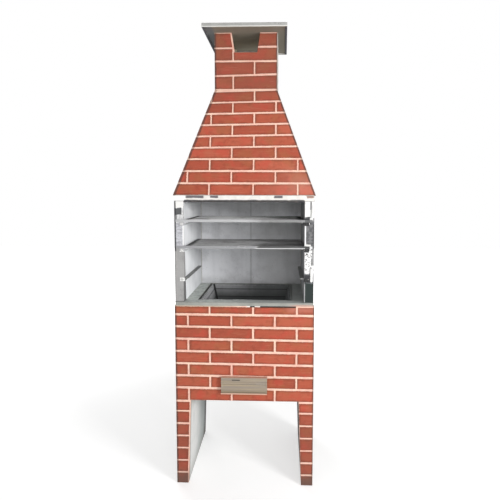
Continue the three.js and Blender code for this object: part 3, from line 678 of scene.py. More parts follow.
def wire_steel():
    """Rack wires: grey steel with bands of soot, painted shade to the right and over the middle rack, a
    painted highlight on the upper rack, and black along the back as painted shade, the left and the right
    front.
    """
    f = Finish("sooted_wire", 0.5, 0.2)
    patch, grain = f.cloud(30, 5, 0.6), f.cloud(400, 3)
    band = f.cloud(1, 4, 0.6, f.stretched(3.5, 26, 5))
    across = f.wavered(f.x, 0.08, 9, 3)
    middle = f.rise(f.z, 1.22, 1.21)
    upper = f.less(1.0, middle)
    crust = f.times(f.rise(f.wavered(f.y, 0.08, 9, 3), -0.09, -0.14), f.rise(f.x, 0.02, 0.1), middle, 0.8)
    left = f.rise(f.wavered(f.x, 0.024, 9, 3), -0.245, -0.262)
    corner = f.times(f.rise(f.x, 0.235, 0.262), upper)
    colour = f.stains(
        f.blend(f.rise(patch, 0.4, 0.7), (0.78, 0.78, 0.79), (0.6, 0.595, 0.59)),
        (f.rise(band, 0.5, 0.62), 0.7, (0.16, 0.155, 0.15)),
        # painted shade: darker to the right
        (f.rise(across, 0.02, 0.2), 0.5, 0.13),
        # painted shade over the middle rack
        (middle, 0.66, 0.13),
        # painted highlight on the upper rack
        (f.times(f.within(across, -0.165, -0.075, 0.02), upper), 0.7, 0.9),
        # black: the back as painted shade, the left, the upper rack's right end and the middle rack's crust
        # at the right front
        (f.most(crust, f.rise(f.y, 0.055, 0.075), left, corner), 0.9, 0.03),
    )
    return f.paint(colour, [(grain, 0.0002)], f.rise(patch, -0.3, 1.4))


def bright_bar():
    """Rack front bars: drawn steel, the upper one darkened by soot to the right and the lower one along its
    top.
    """
    f = Finish("drawn_bar", 0.45, 0.1)
    along, patch = f.cloud(1, 4, 0.6, f.stretched(2.5, 500, 500)), f.cloud(7, 4)
    across = f.wavered(f.x, 0.25, 7, 4)
    upper = f.rise(f.z, 1.21, 1.22)
    lower = f.less(1.0, upper)
    wiped = f.times(f.rise(across, 0.02, 0.08), lower)
    bar_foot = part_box("middle_rack_bar")[0].z
    burnt = f.blend(f.rise(f.x, 0.304, 0.306), 0.014, 0.6)
    burnt = f.stains(burnt, (upper, 0.9, (0.05, 0.05, 0.052)))
    colour = f.stains(
        f.blend(f.rise(along, 0.3, 0.7), (0.44, 0.445, 0.45), (0.35, 0.35, 0.355)),
        (f.times(f.rise(across, 0.0, 0.12), upper), 0.85, 0.13),
        (f.times(f.rise(across, 0.1, 0.0), lower), 0.75, (0.22, 0.22, 0.23)),
        (wiped, 0.8, 0.62),
        (f.times(f.rise(f.z, bar_foot + 0.0025, bar_foot + 0.004), wiped), 0.95, 0.02),
        (f.rise(f.x, 0.2815, 0.2835), 0.95, burnt),
    )
    return f.paint(colour, [(along, 0.0002)], f.rise(patch, -0.35, 1.9))


def drawer_steel():
    """Ash drawer: brushed sheet gone beige with heat, in level streaks, with a bright top and lip."""
    f = Finish("heat_tinted_sheet", 0.45, 0.2)
    fine = f.cloud(1, 5, 0.65, f.stretched(3, 60, 420))
    band = f.cloud(1, 3, 0.5, f.stretched(4, 20, 90))
    low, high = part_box("ash_drawer_front")
    bright = f.times(f.rise(f.facing_up(), 0.6, 0.9), f.rise(f.z, high.z - 0.002, high.z - 0.0005))
    lip = f.times(f.rise(f.y, low.y + 0.0022, low.y + 0.001), f.rise(f.z, low.z + 0.008, low.z + 0.0065))
    # painted shade: a stamped slot's dark opening, painted on the flat face
    slot = f.times(
        f.within(f.x, -0.0575, -0.0195, 0.001),
        f.within(f.z, high.z - 0.014, high.z - 0.0092, 0.0006),
        f.rise(f.y, FRONT, FRONT - 0.01),
    )
    colour = f.stains(
        f.blend(f.rise(band, 0.35, 0.65), (0.36, 0.29, 0.2), (0.28, 0.235, 0.19)),
        (f.rise(fine, 0.45, 0.7), 0.5, (0.22, 0.185, 0.145)),
        (f.rise(f.cloud(11, 5, 0.6), 0.52, 0.7), 0.5, (0.36, 0.33, 0.31)),
        (f.most(bright, lip), 0.8, (0.62, 0.38, 0.28)),
        (slot, 0.95, (0.025, 0.022, 0.02)),
        (f.rise(f.y, FRONT + 0.004, FRONT + 0.03), 0.75, (0.09, 0.085, 0.08)),
    )
    return f.paint(colour, [(band, 0.0004), (fine, 0.0002)], f.rise(fine, -0.3, 1.5))


def iron_finish():
    f = Finish("cast_iron", 0.82, 0.5)
    patch, grain = f.cloud(25, 5), f.cloud(230, 4, 0.65)
    colour = f.blend(f.rise(patch, 0.4, 0.7), (0.03, 0.029, 0.028), (0.065, 0.06, 0.055))
    return f.paint(colour, [(patch, 0.0008), (grain, 0.0008)])


def bolt_steel():
    """Rail bolts: zinc still bright on the left wall, burnt black on the right one."""
    f = Finish("zinc_bolt", 0.45, 0.4)
    patch = f.cloud(160, 4)
    bright = f.blend(f.rise(patch, 0.4, 0.65), (0.6, 0.6, 0.59), (0.4, 0.39, 0.38))
    return f.paint(f.blend(f.right, bright, 0.02), [(patch, 0.0002)], f.rise(patch, -0.3, 1.4))


def grey_mortar():
    f = Finish("grey_mortar", 0.9, specular=0.25)
    patch, grain = f.cloud(45, 5, 0.6), f.cloud(400, 3)
    by_pit = f.times(
        f.within(f.z, SLAB_TOP - 0.02, SLAB_TOP + 0.01, 0.001),
        f.rise(f.y, PIT_REAR + 0.003, PIT_REAR),
        f.rise(f.aside, PIT_HALF + 0.004, PIT_HALF + 0.001),
    )
    colour = f.blend(f.rise(patch, 0.35, 0.7), (0.55, 0.535, 0.5), (0.4, 0.38, 0.35))
    colour = f.stains(colour, (by_pit, 0.9, (0.23, 0.24, 0.235)))
    return f.paint(colour, [(patch, 0.0008), (grain, 0.0005)])


BRICK, POINTING, WIRE = brick_finish(), joint_finish(), wire_steel()
BOLT, MORTAR = bolt_steel(), grey_mortar()
NODE_FINISHES = {
    plain_cement(): (
        "ash_floor", "base_back_panel", "ash_slope_left", "ash_slope_right", "hood_rear",
        "hood_left", "hood_right", "chimney_rear", "chimney_left", "chimney_right",
    ),
    cap_finish(): ("chimney_cap",),
    panel_finish(): ("base_side_panel_left", "base_side_panel_right"),
    column_finish(): ("chamber_wall_left", "chamber_wall_right"),
    back_finish(): ("back_plate_left", "back_plate_right"),
    throat_finish(): ("throat_frame",),
    slab_finish(): ("hearth_slab",),
    lining_finish(): (
        "lining_front", "lining_rear", "lower_lining_left", "lower_lining_right",
        "upper_lining_left", "upper_lining_right",
    ),
    black_steel(): [
        f"{height}_rail_{side}" for height in ("lower", "middle", "upper") for side in ("left", "right")
    ],
    runner_steel(): ("drawer_runner_left", "drawer_runner_right", "lintel_bar"),
    bright_bar(): ("middle_rack_bar", "upper_rack_bar"),
    drawer_steel(): ("ash_tray", "ash_drawer_front"),
    iron_finish(): ("charcoal_grate",),
    BRICK: ("front_apron", "hood_front", "chimney_front"),
    WIRE: ("middle_rack_grid", "upper_rack_grid"),
}
for finish, names in NODE_FINISHES.items():
    for name in names:
        node = frame["nodes"][name]
        if not node.material_slots:
            node.data.materials.append(finish)
        for material_slot in node.material_slots:
            material_slot.material = finish


# Mesh helpers


def new_object(name, mesh):
    piece = bpy.data.objects.new(name, mesh)
    bpy.context.scene.collection.objects.link(piece)
    return piece


def from_bmesh(name, work):
    mesh = bpy.data.meshes.new(name)
    work.to_mesh(mesh)
    work.free()
    return new_object(name, mesh)


def from_points(name, points, edges=()):
    mesh = bpy.data.meshes.new(name)
    mesh.from_pydata(points, edges, [])
    return new_object(name, mesh)


def settled(piece):
    """Turns what the modifiers make of a piece into its own plain mesh."""
    view = bpy.context.evaluated_depsgraph_get()
    made = bpy.data.meshes.new_from_object(
        piece.evaluated_get(view), preserve_all_data_layers=True, depsgraph=view
    )
    piece.modifiers.clear()
    old, piece.data = piece.data, made
    bpy.data.meshes.remove(old)
    return piece


def cut_away(piece, cutter):
    """Takes the cutter's body out of a piece, and drops the cutter."""
    modifier = piece.modifiers.new("cut", "BOOLEAN")
    modifier.object = cutter
    modifier.operation = "DIFFERENCE"
    modifier.solver = "EXACT"
    settled(piece)
    bpy.data.objects.remove(cutter)


def close_open_edges(work):
    bmesh.ops.holes_fill(work, edges=[e for e in work.edges if e.is_boundary], sides=0)


class Recipe(Wiring):
    """A Geometry Nodes tree with named inputs, which ends in Realize Instances and Set Material."""

    KINDS = {float: "NodeSocketFloat", int: "NodeSocketInt", tuple: "NodeSocketVector"}

    def __init__(self, name, **sizes):
        super().__init__(bpy.data.node_groups.new(name, "GeometryNodeTree"))
        sockets = self.tree.interface
        sockets.new_socket("Geometry", in_out="INPUT", socket_type="NodeSocketGeometry")
        sockets.new_socket("Geometry", in_out="OUTPUT", socket_type="NodeSocketGeometry")
        self.ids = {}
        for label, value in sizes.items():
            socket = sockets.new_socket(label, in_out="INPUT", socket_type=self.KINDS[type(value)])
            socket.default_value = value
            self.ids[label] = socket.identifier
        self.given = self.add("NodeGroupInput").outputs

    def end(self, geometry, material):
        whole = self.add("GeometryNodeRealizeInstances", {0: geometry})
        coated = self.add("GeometryNodeSetMaterial", {0: whole, "Material": material})
        self.add("NodeGroupOutput", {0: coated})
        return self

    def apply(self, piece, **sizes):
        modifier = piece.modifiers.new(self.tree.name, "NODES")
        modifier.node_group = self.tree
        for label, value in sizes.items():
            modifier[self.ids[label]] = value
        return settled(piece)

    def shifted(self, geometry, scale, depth, detail=3.0):
        """Moves the points by a noise field on their position."""
        at = self.add("GeometryNodeInputPosition")
        noise = self.add("ShaderNodeTexNoise", {"Vector": at, "Scale": scale, "Detail": detail})
        centred = self.vector("SUBTRACT", noise.outputs["Color"], (0.5, 0.5, 0.5))
        offset = self.vector("SCALE", centred, scale=depth)
        return self.add("GeometryNodeSetPosition", {0: geometry, "Offset": offset})

    def spot(self, x=0.0, y=0.0, z=0.0):
        return self.add("ShaderNodeCombineXYZ", {0: x, 1: y, 2: z})

    def carried(self, geometry, offset):
        return self.add("GeometryNodeTransform", {0: geometry, "Translation": offset})

    def joined(self, *parts):
        join = self.add("GeometryNodeJoinGeometry")
        for part in parts:
            self.tree.links.new(part.outputs[0], join.inputs[0])
        return join

    def line(self, start, end):
        return self.add("GeometryNodeCurvePrimitiveLine", {"Start": start, "End": end})

    def swept(self, curves, radius, sides, **feeds):
        """A closed round rod along curves."""
        profile = self.add("GeometryNodeCurvePrimitiveCircle", {"Resolution": sides, "Radius": radius})
        return self.add("GeometryNodeCurveToMesh", {0: curves, 1: profile, "Fill Caps": True, **feeds})


# Brickwork


class Face:
    """A front face: across it, up it, and the distance behind it along +Y."""

    def __init__(self, y, z, rise, lean=0.0):
        self.y, self.z = y, z
        self.slant = math.hypot(rise, lean)
        self.sine, self.cosine = lean / self.slant, rise / self.slant

    def point(self, across, up, behind=0.0):
        return Vector((across, self.y + up * self.sine + behind, self.z + up * self.cosine))


def part_way(value, start, end):
    """0 at start and before it, 1 at end and past it."""
    return min(1.0, max(0.0, (value - start) / (end - start)))


def grid_lines(length, count):
    """Places of a brick's grid lines: the wall's two rings outside, even steps inside."""
    inner = [BRICK_CHAMFER + (length - 2 * BRICK_CHAMFER) * i / count for i in range(count + 1)]
    return [0.0, 0.0] + inner + [length, length]


def lay_brick(work, face, left, right, bottom, top, rng):
    """One chamfered brick. left and right are (foot, head) pairs, which differ on a leg's slanted edge."""
    tone_layer, rim_layer = work.verts.layers.float["tone"], work.verts.layers.float["rim"]
    tone = rng.random()
    trims = [rng.uniform(0.0, 0.0011) for _ in range(4)]
    push = rng.uniform(-0.0003, 0.0007)
    tilt_across, tilt_up = rng.uniform(-0.0005, 0.0005), rng.uniform(-0.0004, 0.0004)
    bottom, top = bottom + trims[0], top - trims[1]
    wide, high = right[0] - left[0], top - bottom
    shares = [u / wide for u in grid_lines(wide, max(1, round(wide / BRICK_GRID)))]
    heights = grid_lines(high, max(1, round(high / BRICK_GRID)))
    grid = []
    for i, share in enumerate(shares):
        column = []
        for j, height in enumerate(heights):
            ring = min(i, len(shares) - 1 - i, j, len(heights) - 1 - j)
            part = height / high
            low = left[0] + (left[1] - left[0]) * part + trims[2]
            far = right[0] + (right[1] - right[0]) * part - trims[3]
            behind = push + tilt_across * (share - 0.5) + tilt_up * (part - 0.5)
            behind = BRICK_ROOT if ring == 0 else behind + BRICK_CHAMFER * 0.8 if ring == 1 else behind
            vertex = work.verts.new(face.point(low + (far - low) * share, bottom + height, behind))
            vertex[tone_layer] = tone
            vertex[rim_layer] = RIM_SHARES[ring] if ring < len(RIM_SHARES) else 0.0
            column.append(vertex)
        grid.append(column)
    for near, next_one in zip(grid, grid[1:]):
        for j in range(len(near) - 1):
            work.faces.new((near[j], next_one[j], next_one[j + 1], near[j + 1]))


def close_bricks(work):
    """Merges the doubled corners, shuts each brick's back and turns the faces outwards."""
    bmesh.ops.remove_doubles(work, verts=work.verts, dist=1e-6)
    bmesh.ops.dissolve_degenerate(work, edges=work.edges, dist=1e-6)
    close_open_edges(work)
    bmesh.ops.recalc_face_normals(work, faces=work.faces)


def new_bricks():
    work = bmesh.new()
    work.verts.layers.float.new("tone")
    work.verts.layers.float.new("rim")
    return work


def even_courses(course, count, joint, first_foot):
    """(bottom, top) brick edges of even courses; the lowest bricks start at first_foot."""
    feet = [first_foot] + [k * course + joint / 2 for k in range(1, count)]
    return [(foot, (k + 1) * course - joint / 2) for k, foot in enumerate(feet)]


def lay_courses(work, face, half, courses, first_course, head_joint, rng):
    """Running bond: courses are (bottom, top) brick edges; every other one is half a brick aside."""
    reach = math.ceil((half + BRICK_PITCH) / BRICK_PITCH)
    for count, (bottom, top) in enumerate(courses):
        aside = -BRICK_PITCH / 2 if (count + first_course) % 2 == 0 else 0.0
        heads = [HEAD_OFFSET + aside + n * BRICK_PITCH for n in range(-reach, reach + 1)]
        heads = [x for x in heads if abs(x) + HEAD_CLEAR < half]
        lefts = [-half] + [x + head_joint / 2 for x in heads]
        rights = [x - head_joint / 2 for x in heads] + [half]
        for left, right in zip(lefts, rights):
            lay_brick(work, face, (left, left), (right, right), bottom, top, rng)


def plate(name, face, outline, thickness, hole=None, cream_reveal=0.0):
    """Mortar-faced plate behind the bricks; its reveals stay cream within a half width of the middle."""
    work = bmesh.new()
    front_layer = work.verts.layers.float.new("front")
    rim = []
    for loop in [outline] + ([hole] if hole else []):
        corners = [work.verts.new(face.point(u, v, MORTAR_SINK)) for u, v in loop]
        rim += [work.edges.new((a, b)) for a, b in zip(corners, corners[1:] + corners[:1])]
    for vertex in work.verts:
        vertex[front_layer] = 1.0
    bmesh.ops.triangle_fill(work, edges=rim, use_beauty=True)
    made = bmesh.ops.extrude_face_region(work, geom=list(work.faces))
    pushed = [g for g in made["geom"] if isinstance(g, bmesh.types.BMVert)]
    bmesh.ops.translate(work, verts=pushed, vec=(0, thickness - MORTAR_SINK, 0))
    for vertex in pushed:
        vertex[front_layer] = 1.0 if abs(vertex.co.x) < cream_reveal else 0.0
    bmesh.ops.recalc_face_normals(work, faces=work.faces)
    piece = from_bmesh(name, work)
    piece.data.materials.append(POINTING)
    return piece


def prism(name, face, outline, behind_from, behind_to):
    """Closed cutter between two distances behind a face."""
    work = bmesh.new()
    near = [work.verts.new(face.point(u, v, behind_from)) for u, v in outline]
    far = [work.verts.new(face.point(u, v, behind_to)) for u, v in outline]
    work.faces.new(near)
    work.faces.new(reversed(far))
    for i in range(len(outline)):
        j = (i + 1) % len(outline)
        work.faces.new((near[j], near[i], far[i], far[j]))
    bmesh.ops.recalc_face_normals(work, faces=work.faces)
    return from_bmesh(name, work)


def worn_face_recipe():
    """Shifts a brick's points by two noise fields, so its faces wave and its edges are hand-cut."""
    r = Recipe("worn_face", Wave_depth=0.0011, Wave_scale=28.0, Grain_depth=0.0004, Grain_scale=170.0)
    g = r.given
    waved = r.shifted(g["Geometry"], g["Wave_scale"], g["Wave_depth"])
    return r.end(r.shifted(waved, g["Grain_scale"], g["Grain_depth"], 1.0), BRICK)


WORN_FACE = worn_face_recipe()


def dress(bricks, plate_piece, node):
    WORN_FACE.apply(bricks)
    for piece in (bricks, plate_piece):
        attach(piece, MASONRY)
    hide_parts(node)
    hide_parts(node)


rng = random.Random(41)

# Apron with its legs; its middle beds sink to the right
apron_face = Face(FRONT, 0.0, apron_high.z)
apron_half = HALF + APRON_LAP
apron_work = new_bricks()
apron_courses = []
bed = LEG_HEAD
while bed < BRICKS_TOP - COURSE / 2:
    start = bed if bed == LEG_HEAD else bed + APRON_JOINT / 2
    apron_courses.append((start, min(bed + COURSE - APRON_JOINT / 2, BRICKS_TOP)))
    bed = round(bed + COURSE, 4)
lay_courses(apron_work, apron_face, apron_half, apron_courses, 0, APRON_HEAD_JOINT, rng)
for vertex in apron_work.verts:
    height = vertex.co.z
    share = part_way(height, LEG_HEAD, LEG_HEAD + 0.07) * part_way(height, BRICKS_TOP, BRICKS_TOP - 0.12)
    vertex.co.z -= APRON_BED_TILT * share * vertex.co.x / HALF
leg_edges = [0.0]
bed = LEG_FIRST_JOINT
while bed < LEG_HEAD - LEG_COURSE / 2:
    leg_edges += [bed - LEG_JOINT / 2, bed + LEG_JOINT / 2]
    bed += LEG_COURSE
leg_edges.append(LEG_JOINT_UNDER_HEAD - LEG_JOINT / 2)


def strip_edges(*heights):
    """How far a leg's inner edge stands from its outer one at these heights."""
    return [STRIP_FOOT + (STRIP_HEAD - STRIP_FOOT) * height / LEG_HEAD for height in heights]


for bottom, top in zip(leg_edges[::2], leg_edges[1::2]):
    left_edges = [-HALF + width - LEG_BORDER for width in strip_edges(bottom, top)]
    lay_brick(apron_work, apron_face, (-apron_half, -apron_half), left_edges, bottom, top, rng)
    bottom -= RIGHT_LEG_DROP if bottom else 0.0
    top -= RIGHT_LEG_DROP if top < leg_edges[-1] else 0.0
    right_edges = [HALF - width for width in strip_edges(bottom, top)]
    lay_brick(apron_work, apron_face, right_edges, (apron_half, apron_half), bottom, top, rng)
close_bricks(apron_work)
apron_bricks = from_bmesh("apron_bricks", apron_work)
slot = [(-SLOT_HALF, SLOT_FOOT), (SLOT_HALF, SLOT_FOOT), (SLOT_HALF, SLOT_HEAD), (-SLOT_HALF, SLOT_HEAD)]
cut_away(apron_bricks, prism("slot_cutter", apron_face, slot, -0.02, 0.02))
apron_outline = [
    (-apron_half, 0.0), (-HALF + STRIP_FOOT, 0.0), (-HALF + STRIP_HEAD, LEG_HEAD),
    (HALF - STRIP_HEAD, LEG_HEAD), (HALF - STRIP_FOOT, 0.0), (apron_half, 0.0),
    (apron_half, apron_high.z), (-apron_half, apron_high.z),
]
apron_plate = plate("apron_plate", apron_face, apron_outline, APRON_THICKNESS, slot)
dress(apron_bricks, apron_plate, "front_apron")

# Hood: laid upright from its foot, leaned back, and cut along the sloping edges
hood_face = Face(hood_low.y, hood_low.z, hood_high.z - hood_low.z, chimney_low.y - hood_low.y)
hood_half, neck_half = hood_high.x + HOOD_LAP, chimney_high.x
hood_work = new_bricks()
hood_courses = even_courses(hood_face.slant / HOOD_COURSES, HOOD_COURSES, HOOD_JOINT, 0.0)
lay_courses(hood_work, hood_face, hood_half, hood_courses, 1, UPPER_HEAD_JOINT, rng)

# The middle beds lie a little high, the upper ones a little low, and they sink to the left
up_the_hood = Vector((0.0, hood_face.sine, hood_face.cosine))
for vertex in hood_work.verts:
    height = (vertex.co.z - hood_low.z) / (hood_high.z - hood_low.z)
    aside = vertex.co.x / (hood_half + (neck_half - hood_half) * height)
    lift = HOOD_BED_LIFT * part_way(height, 0.02, 0.4) * (1.0 - part_way(height, 0.42, 0.65))
    lift -= HOOD_BED_SINK * part_way(height, 0.62, 0.9)
    lift += HOOD_BED_TILT * part_way(height, 0.3, 0.45) * min(1.0, max(-1.0, aside))
    vertex.co += up_the_hood * lift
close_bricks(hood_work)
for side in (-1, 1):
    foot = hood_face.point(side * hood_half, 0.0)
    head = hood_face.point(side * neck_half, hood_face.slant)
    outward = (head - foot).cross(Vector((0, 1, 0))).normalized()
    if outward.x * side < 0:
        outward = -outward
    everything = list(hood_work.verts) + list(hood_work.edges) + list(hood_work.faces)
    bmesh.ops.bisect_plane(hood_work, geom=everything, plane_co=foot, plane_no=outward, clear_outer=True)
    close_open_edges(hood_work)
bmesh.ops.recalc_face_normals(hood_work, faces=hood_work.faces)
hood_bricks = from_bmesh("hood_bricks", hood_work)
slant = hood_face.slant
hood_outline = [(-hood_half, 0.0), (hood_half, 0.0), (neck_half, slant), (-neck_half, slant)]
hood_plate = plate("hood_plate", hood_face, hood_outline, SHELL_THICKNESS)
dress(hood_bricks, hood_plate, "hood_front")

# Chimney, with the smoke window open to the cap. Its lowest bed tilts, the one left of the window lies low
chimney_face = Face(chimney_low.y, chimney_low.z, chimney_high.z - chimney_low.z)
chimney_work = new_bricks()
chimney_course = chimney_face.slant / CHIMNEY_COURSES
chimney_courses = even_courses(chimney_course, CHIMNEY_COURSES, CHIMNEY_JOINT, CHIMNEY_JOINT / 2)
lay_courses(chimney_work, chimney_face, neck_half, chimney_courses, 0, UPPER_HEAD_JOINT, rng)
tilted_bed = chimney_low.z + chimney_course
window_bed = chimney_low.z + (CHIMNEY_COURSES - 1) * chimney_course
by_the_bed = BRICK_GRID / 2 + CHIMNEY_JOINT / 2
for vertex in chimney_work.verts:
    share = part_way(abs(vertex.co.z - tilted_bed), chimney_course * 0.9, CHIMNEY_JOINT)
    vertex.co.z += share * (CHIMNEY_BED_TILT * vertex.co.x / neck_half + CHIMNEY_BED_LIFT)
    if vertex.co.x < -WINDOW_FOOT_HALF - HEAD_CLEAR and abs(vertex.co.z - window_bed) < by_the_bed:
        vertex.co.z -= LEFT_BED_DROP
close_bricks(chimney_work)
chimney_bricks = from_bmesh("chimney_bricks", chimney_work)
window_head = chimney_face.slant
window_foot = window_head - WINDOW_DEPTH
window_right = [(WINDOW_FOOT_HALF, window_foot), (WINDOW_HEAD_HALF, window_head)]
window, bordered = (
    [(-WINDOW_HEAD_HALF - border, window_head), (-WINDOW_FOOT_HALF - border, window_foot)] + window_right
    for border in (0.0, WINDOW_BORDER)
)
cut_away(chimney_bricks, prism("window_cutter", chimney_face, bordered, -0.02, 0.05))
chimney_outline = [(-neck_half, 0.0), (neck_half, 0.0), (neck_half, window_head)] + window[::-1]
chimney_plate = plate(
    "chimney_plate",
    chimney_face,
    chimney_outline + [(-neck_half, window_head)],
    CHIMNEY_THICKNESS,
    cream_reveal=WINDOW_HEAD_HALF + 0.01,
)
dress(chimney_bricks, chimney_plate, "chimney_front")


# Wire racks


def wire_rack_recipe():
    """A bent frame with rounded corners, two supports, and rods across the frame."""
    r = Recipe(
        "wire_rack", Width=0.552, Depth=0.32, Frame_wire=0.008, Rod_wire=0.005, Corner=0.016,
        Rod_pitch=0.018, Rod_count=17, First_rod=0.016, Rod_height=0.0095, Support_place=0.092,
        Place=(0.0, 0.0, 0.0),
    )
    g = r.given
    radius = r.times(g["Frame_wire"], 0.5)
    sizes = {"Width": r.less(g["Width"], g["Frame_wire"]), "Height": r.less(g["Depth"], g["Frame_wire"])}
    outline = r.add("GeometryNodeCurvePrimitiveQuadrilateral", sizes)
    bent = r.add("GeometryNodeFilletCurve", {0: outline, "Radius": g["Corner"], "Count": 7}, mode="POLY")
    frame_line = r.carried(bent, r.spot(y=r.times(g["Depth"], 0.5), z=radius))
    supports = []
    for side in (-1.0, 1.0):
        x = r.times(g["Support_place"], side)
        supports.append(r.line(r.spot(x, radius, radius), r.spot(x, r.less(g["Depth"], radius), radius)))
    rod_half = r.less(r.times(g["Width"], 0.5), 0.002)
    rod_line = r.line(r.spot(r.times(rod_half, -1.0)), r.spot(rod_half))
    row = r.add("GeometryNodeMeshLine", {
        "Count": g["Rod_count"], "Start Location": r.spot(y=g["First_rod"], z=g["Rod_height"]),
        "Offset": r.spot(y=g["Rod_pitch"]),
    })
    rods = r.add("GeometryNodeInstanceOnPoints", {0: row, "Instance": rod_line})
    whole = r.joined(
        r.swept(frame_line, radius, 12),
        r.swept(r.joined(*supports), radius, 12),
        r.swept(r.add("GeometryNodeRealizeInstances", {0: rods}), r.times(g["Rod_wire"], 0.5), 10),
    )
    return r.end(r.add("GeometryNodeSetShadeSmooth", {0: r.carried(whole, g["Place"])}), WIRE)


WIRE_RACK = wire_rack_recipe()
for level in ("middle", "upper"):
    rack_low, rack_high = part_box(f"{level}_rack_grid")
    rack = WIRE_RACK.apply(
        from_points(f"{level}_rack_wires", []),
        Width=rack_high.x - rack_low.x,
        Depth=rack_high.y - rack_low.y,
        Place=(0.0, rack_low.y, rack_low.z),
    )
    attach(rack, f"{level}_rack")
    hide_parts(f"{level}_rack_grid")


# Bolts


def bolt_recipe():
    """A washer and a hexagonal head on every point, turned to the point's own direction."""
    r = Recipe("bolts", Head_radius=0.0045, Head_height=0.0032, Washer_radius=0.0068, Washer_height=0.0012)
    g = r.given
    washer_sizes = {"Vertices": 20, "Radius": g["Washer_radius"], "Depth": g["Washer_height"]}
    washer = r.add("GeometryNodeMeshCylinder", washer_sizes)
    head = r.add("GeometryNodeMeshCone", {
        "Vertices": 6, "Radius Bottom": g["Head_radius"], "Depth": g["Head_height"],
        "Radius Top": r.times(g["Head_radius"], 0.86),
    })
    bolt = r.joined(
        r.carried(washer, r.spot(z=r.times(g["Washer_height"], 0.5))),
        r.carried(head, r.spot(z=r.times(g["Washer_height"], 0.9))),
    )
    aim = r.add("GeometryNodeInputNamedAttribute", {"Name": "aim"}, data_type="FLOAT_VECTOR")
    turn = r.add("FunctionNodeAlignRotationToVector", {"Vector": aim}, axis="Z")
    row = r.add("GeometryNodeInstanceOnPoints", {0: g["Geometry"], "Instance": bolt, "Rotation": turn})
    return r.end(row, BOLT)


BOLTS = bolt_recipe()


def bolt_row(name, points, **sizes):
    """points are (place, direction) pairs."""
    piece = from_points(name, [place for place, _ in points])
    aim = piece.data.attributes.new("aim", "FLOAT_VECTOR", "POINT")
    aim.data.foreach_set("vector", [c for _, direction in points for c in direction])
    BOLTS.apply(piece, **sizes)
    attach(piece, MASONRY)


RAIL_TOPS = {"lower": 0.117, "middle": 0.256, "upper": 0.379}  # above the slab
TAB_BOLT_IN, TAB_BOLT_DROP = 0.0105, 0.0085
WEB_BOLT_DROP, WEB_BOLT_PLACES, WEB_FACE = 0.0098, (0.05, 0.30), 0.003
tab_points, web_points = [], []
for height, above in RAIL_TOPS.items():
    for side, sign in (("left", -1), ("right", 1)):
        rail_low, rail_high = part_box(f"{height}_rail_{side}")
        outer = max(abs(rail_low.x), abs(rail_high.x))
        top = SLAB_TOP + above
        tab_points.append(((sign * (outer - TAB_BOLT_IN), rail_low.y, top - TAB_BOLT_DROP), (0, -1, 0)))
        for place in WEB_BOLT_PLACES:
            inside = sign * (INNER - COAT - WEB_FACE)
            web_points.append(((inside, FRONT + place, top - WEB_BOLT_DROP), (-sign, 0, 0)))
bolt_row("tab_bolts", tab_points)
small_bolt = {"Head_radius": 0.0034, "Head_height": 0.0024, "Washer_radius": 0.005, "Washer_height": 0.001}
bolt_row("rail_bolts", web_points, **small_bolt)


# Mortar beads


def bead_recipe():
    """A bead of mortar along a line of edges, uneven in place and thickness."""
    r = Recipe("mortar_bead", Bead_radius=0.0032, Spacing=0.009, Waver=0.0022, Waver_scale=22.0, Swell=0.5)
    g = r.given
    path = r.add("GeometryNodeMeshToCurve", {0: g["Geometry"]})
    dense = r.add("GeometryNodeResampleCurve", {0: path, "Length": g["Spacing"]}, mode="LENGTH")
    wavy = r.shifted(dense, g["Waver_scale"], g["Waver"])
    at = r.add("GeometryNodeInputPosition")
    noise = r.add("ShaderNodeTexNoise", {"Vector": at, "Scale": 55.0, "Detail": 2.0})
    swell = r.times(r.less(noise.outputs[0], 0.5), g["Swell"])
    size = r.plus(r.times(swell, 2.0), 1.0)
    thick = r.add("GeometryNodeSetCurveRadius", {0: wavy, "Radius": size})
    bead = r.swept(thick, g["Bead_radius"], 8, Scale=size)
    return r.end(r.add("GeometryNodeSetShadeSmooth", {0: bead}), MORTAR)


BEAD = bead_recipe()
SUNK = 0.0012  # how far a bead's middle lies behind the faces that it joins


def line(start, end):
    return [start, end], [(0, 1)]


def upright(x, y, low, high):
    return line((x, y, low), (x, y, high))


def ring(x, front, back, z, open_front=False):
    """Level path round a rectangle; open_front leaves the front side out."""
    corners = [(-x, front, z), (-x, back, z), (x, back, z), (x, front, z)]
    return corners, [(0, 1), (1, 2), (2, 3)] + ([] if open_front else [(3, 0)])


def bead_lines(name, lines, **sizes):
    points, links = [], []
    for corners, joins in lines:
        links += [(a + len(points), b + len(points)) for a, b in joins]
        points += corners
    piece = BEAD.apply(from_points(name, points, links), **sizes)
    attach(piece, MASONRY)


side_x, back_y = HALF - SUNK, REAR - SUNK
joint_front = FRONT + APRON_THICKNESS
neck_x, neck_front, neck_back = neck_half - SUNK, chimney_low.y + SUNK, chimney_rear_high.y - SUNK
bead_lines("bed_pointing", [
    ring(side_x, joint_front + 0.002, back_y, slab_low.z, open_front=True),
    ring(side_x, FRONT + 0.004, back_y, slab_high.z, open_front=True),
    ring(side_x, FRONT + 0.004, back_y, wall_high.z, open_front=True),
    ring(side_x, hood_low.y + SUNK, back_y, throat_high.z + COAT / 2),
    ring(neck_x, neck_front + 0.006, neck_back, hood_high.z, open_front=True),
    ring(neck_x, neck_front + 0.006, neck_back, chimney_high.z - 0.001, open_front=True),
])

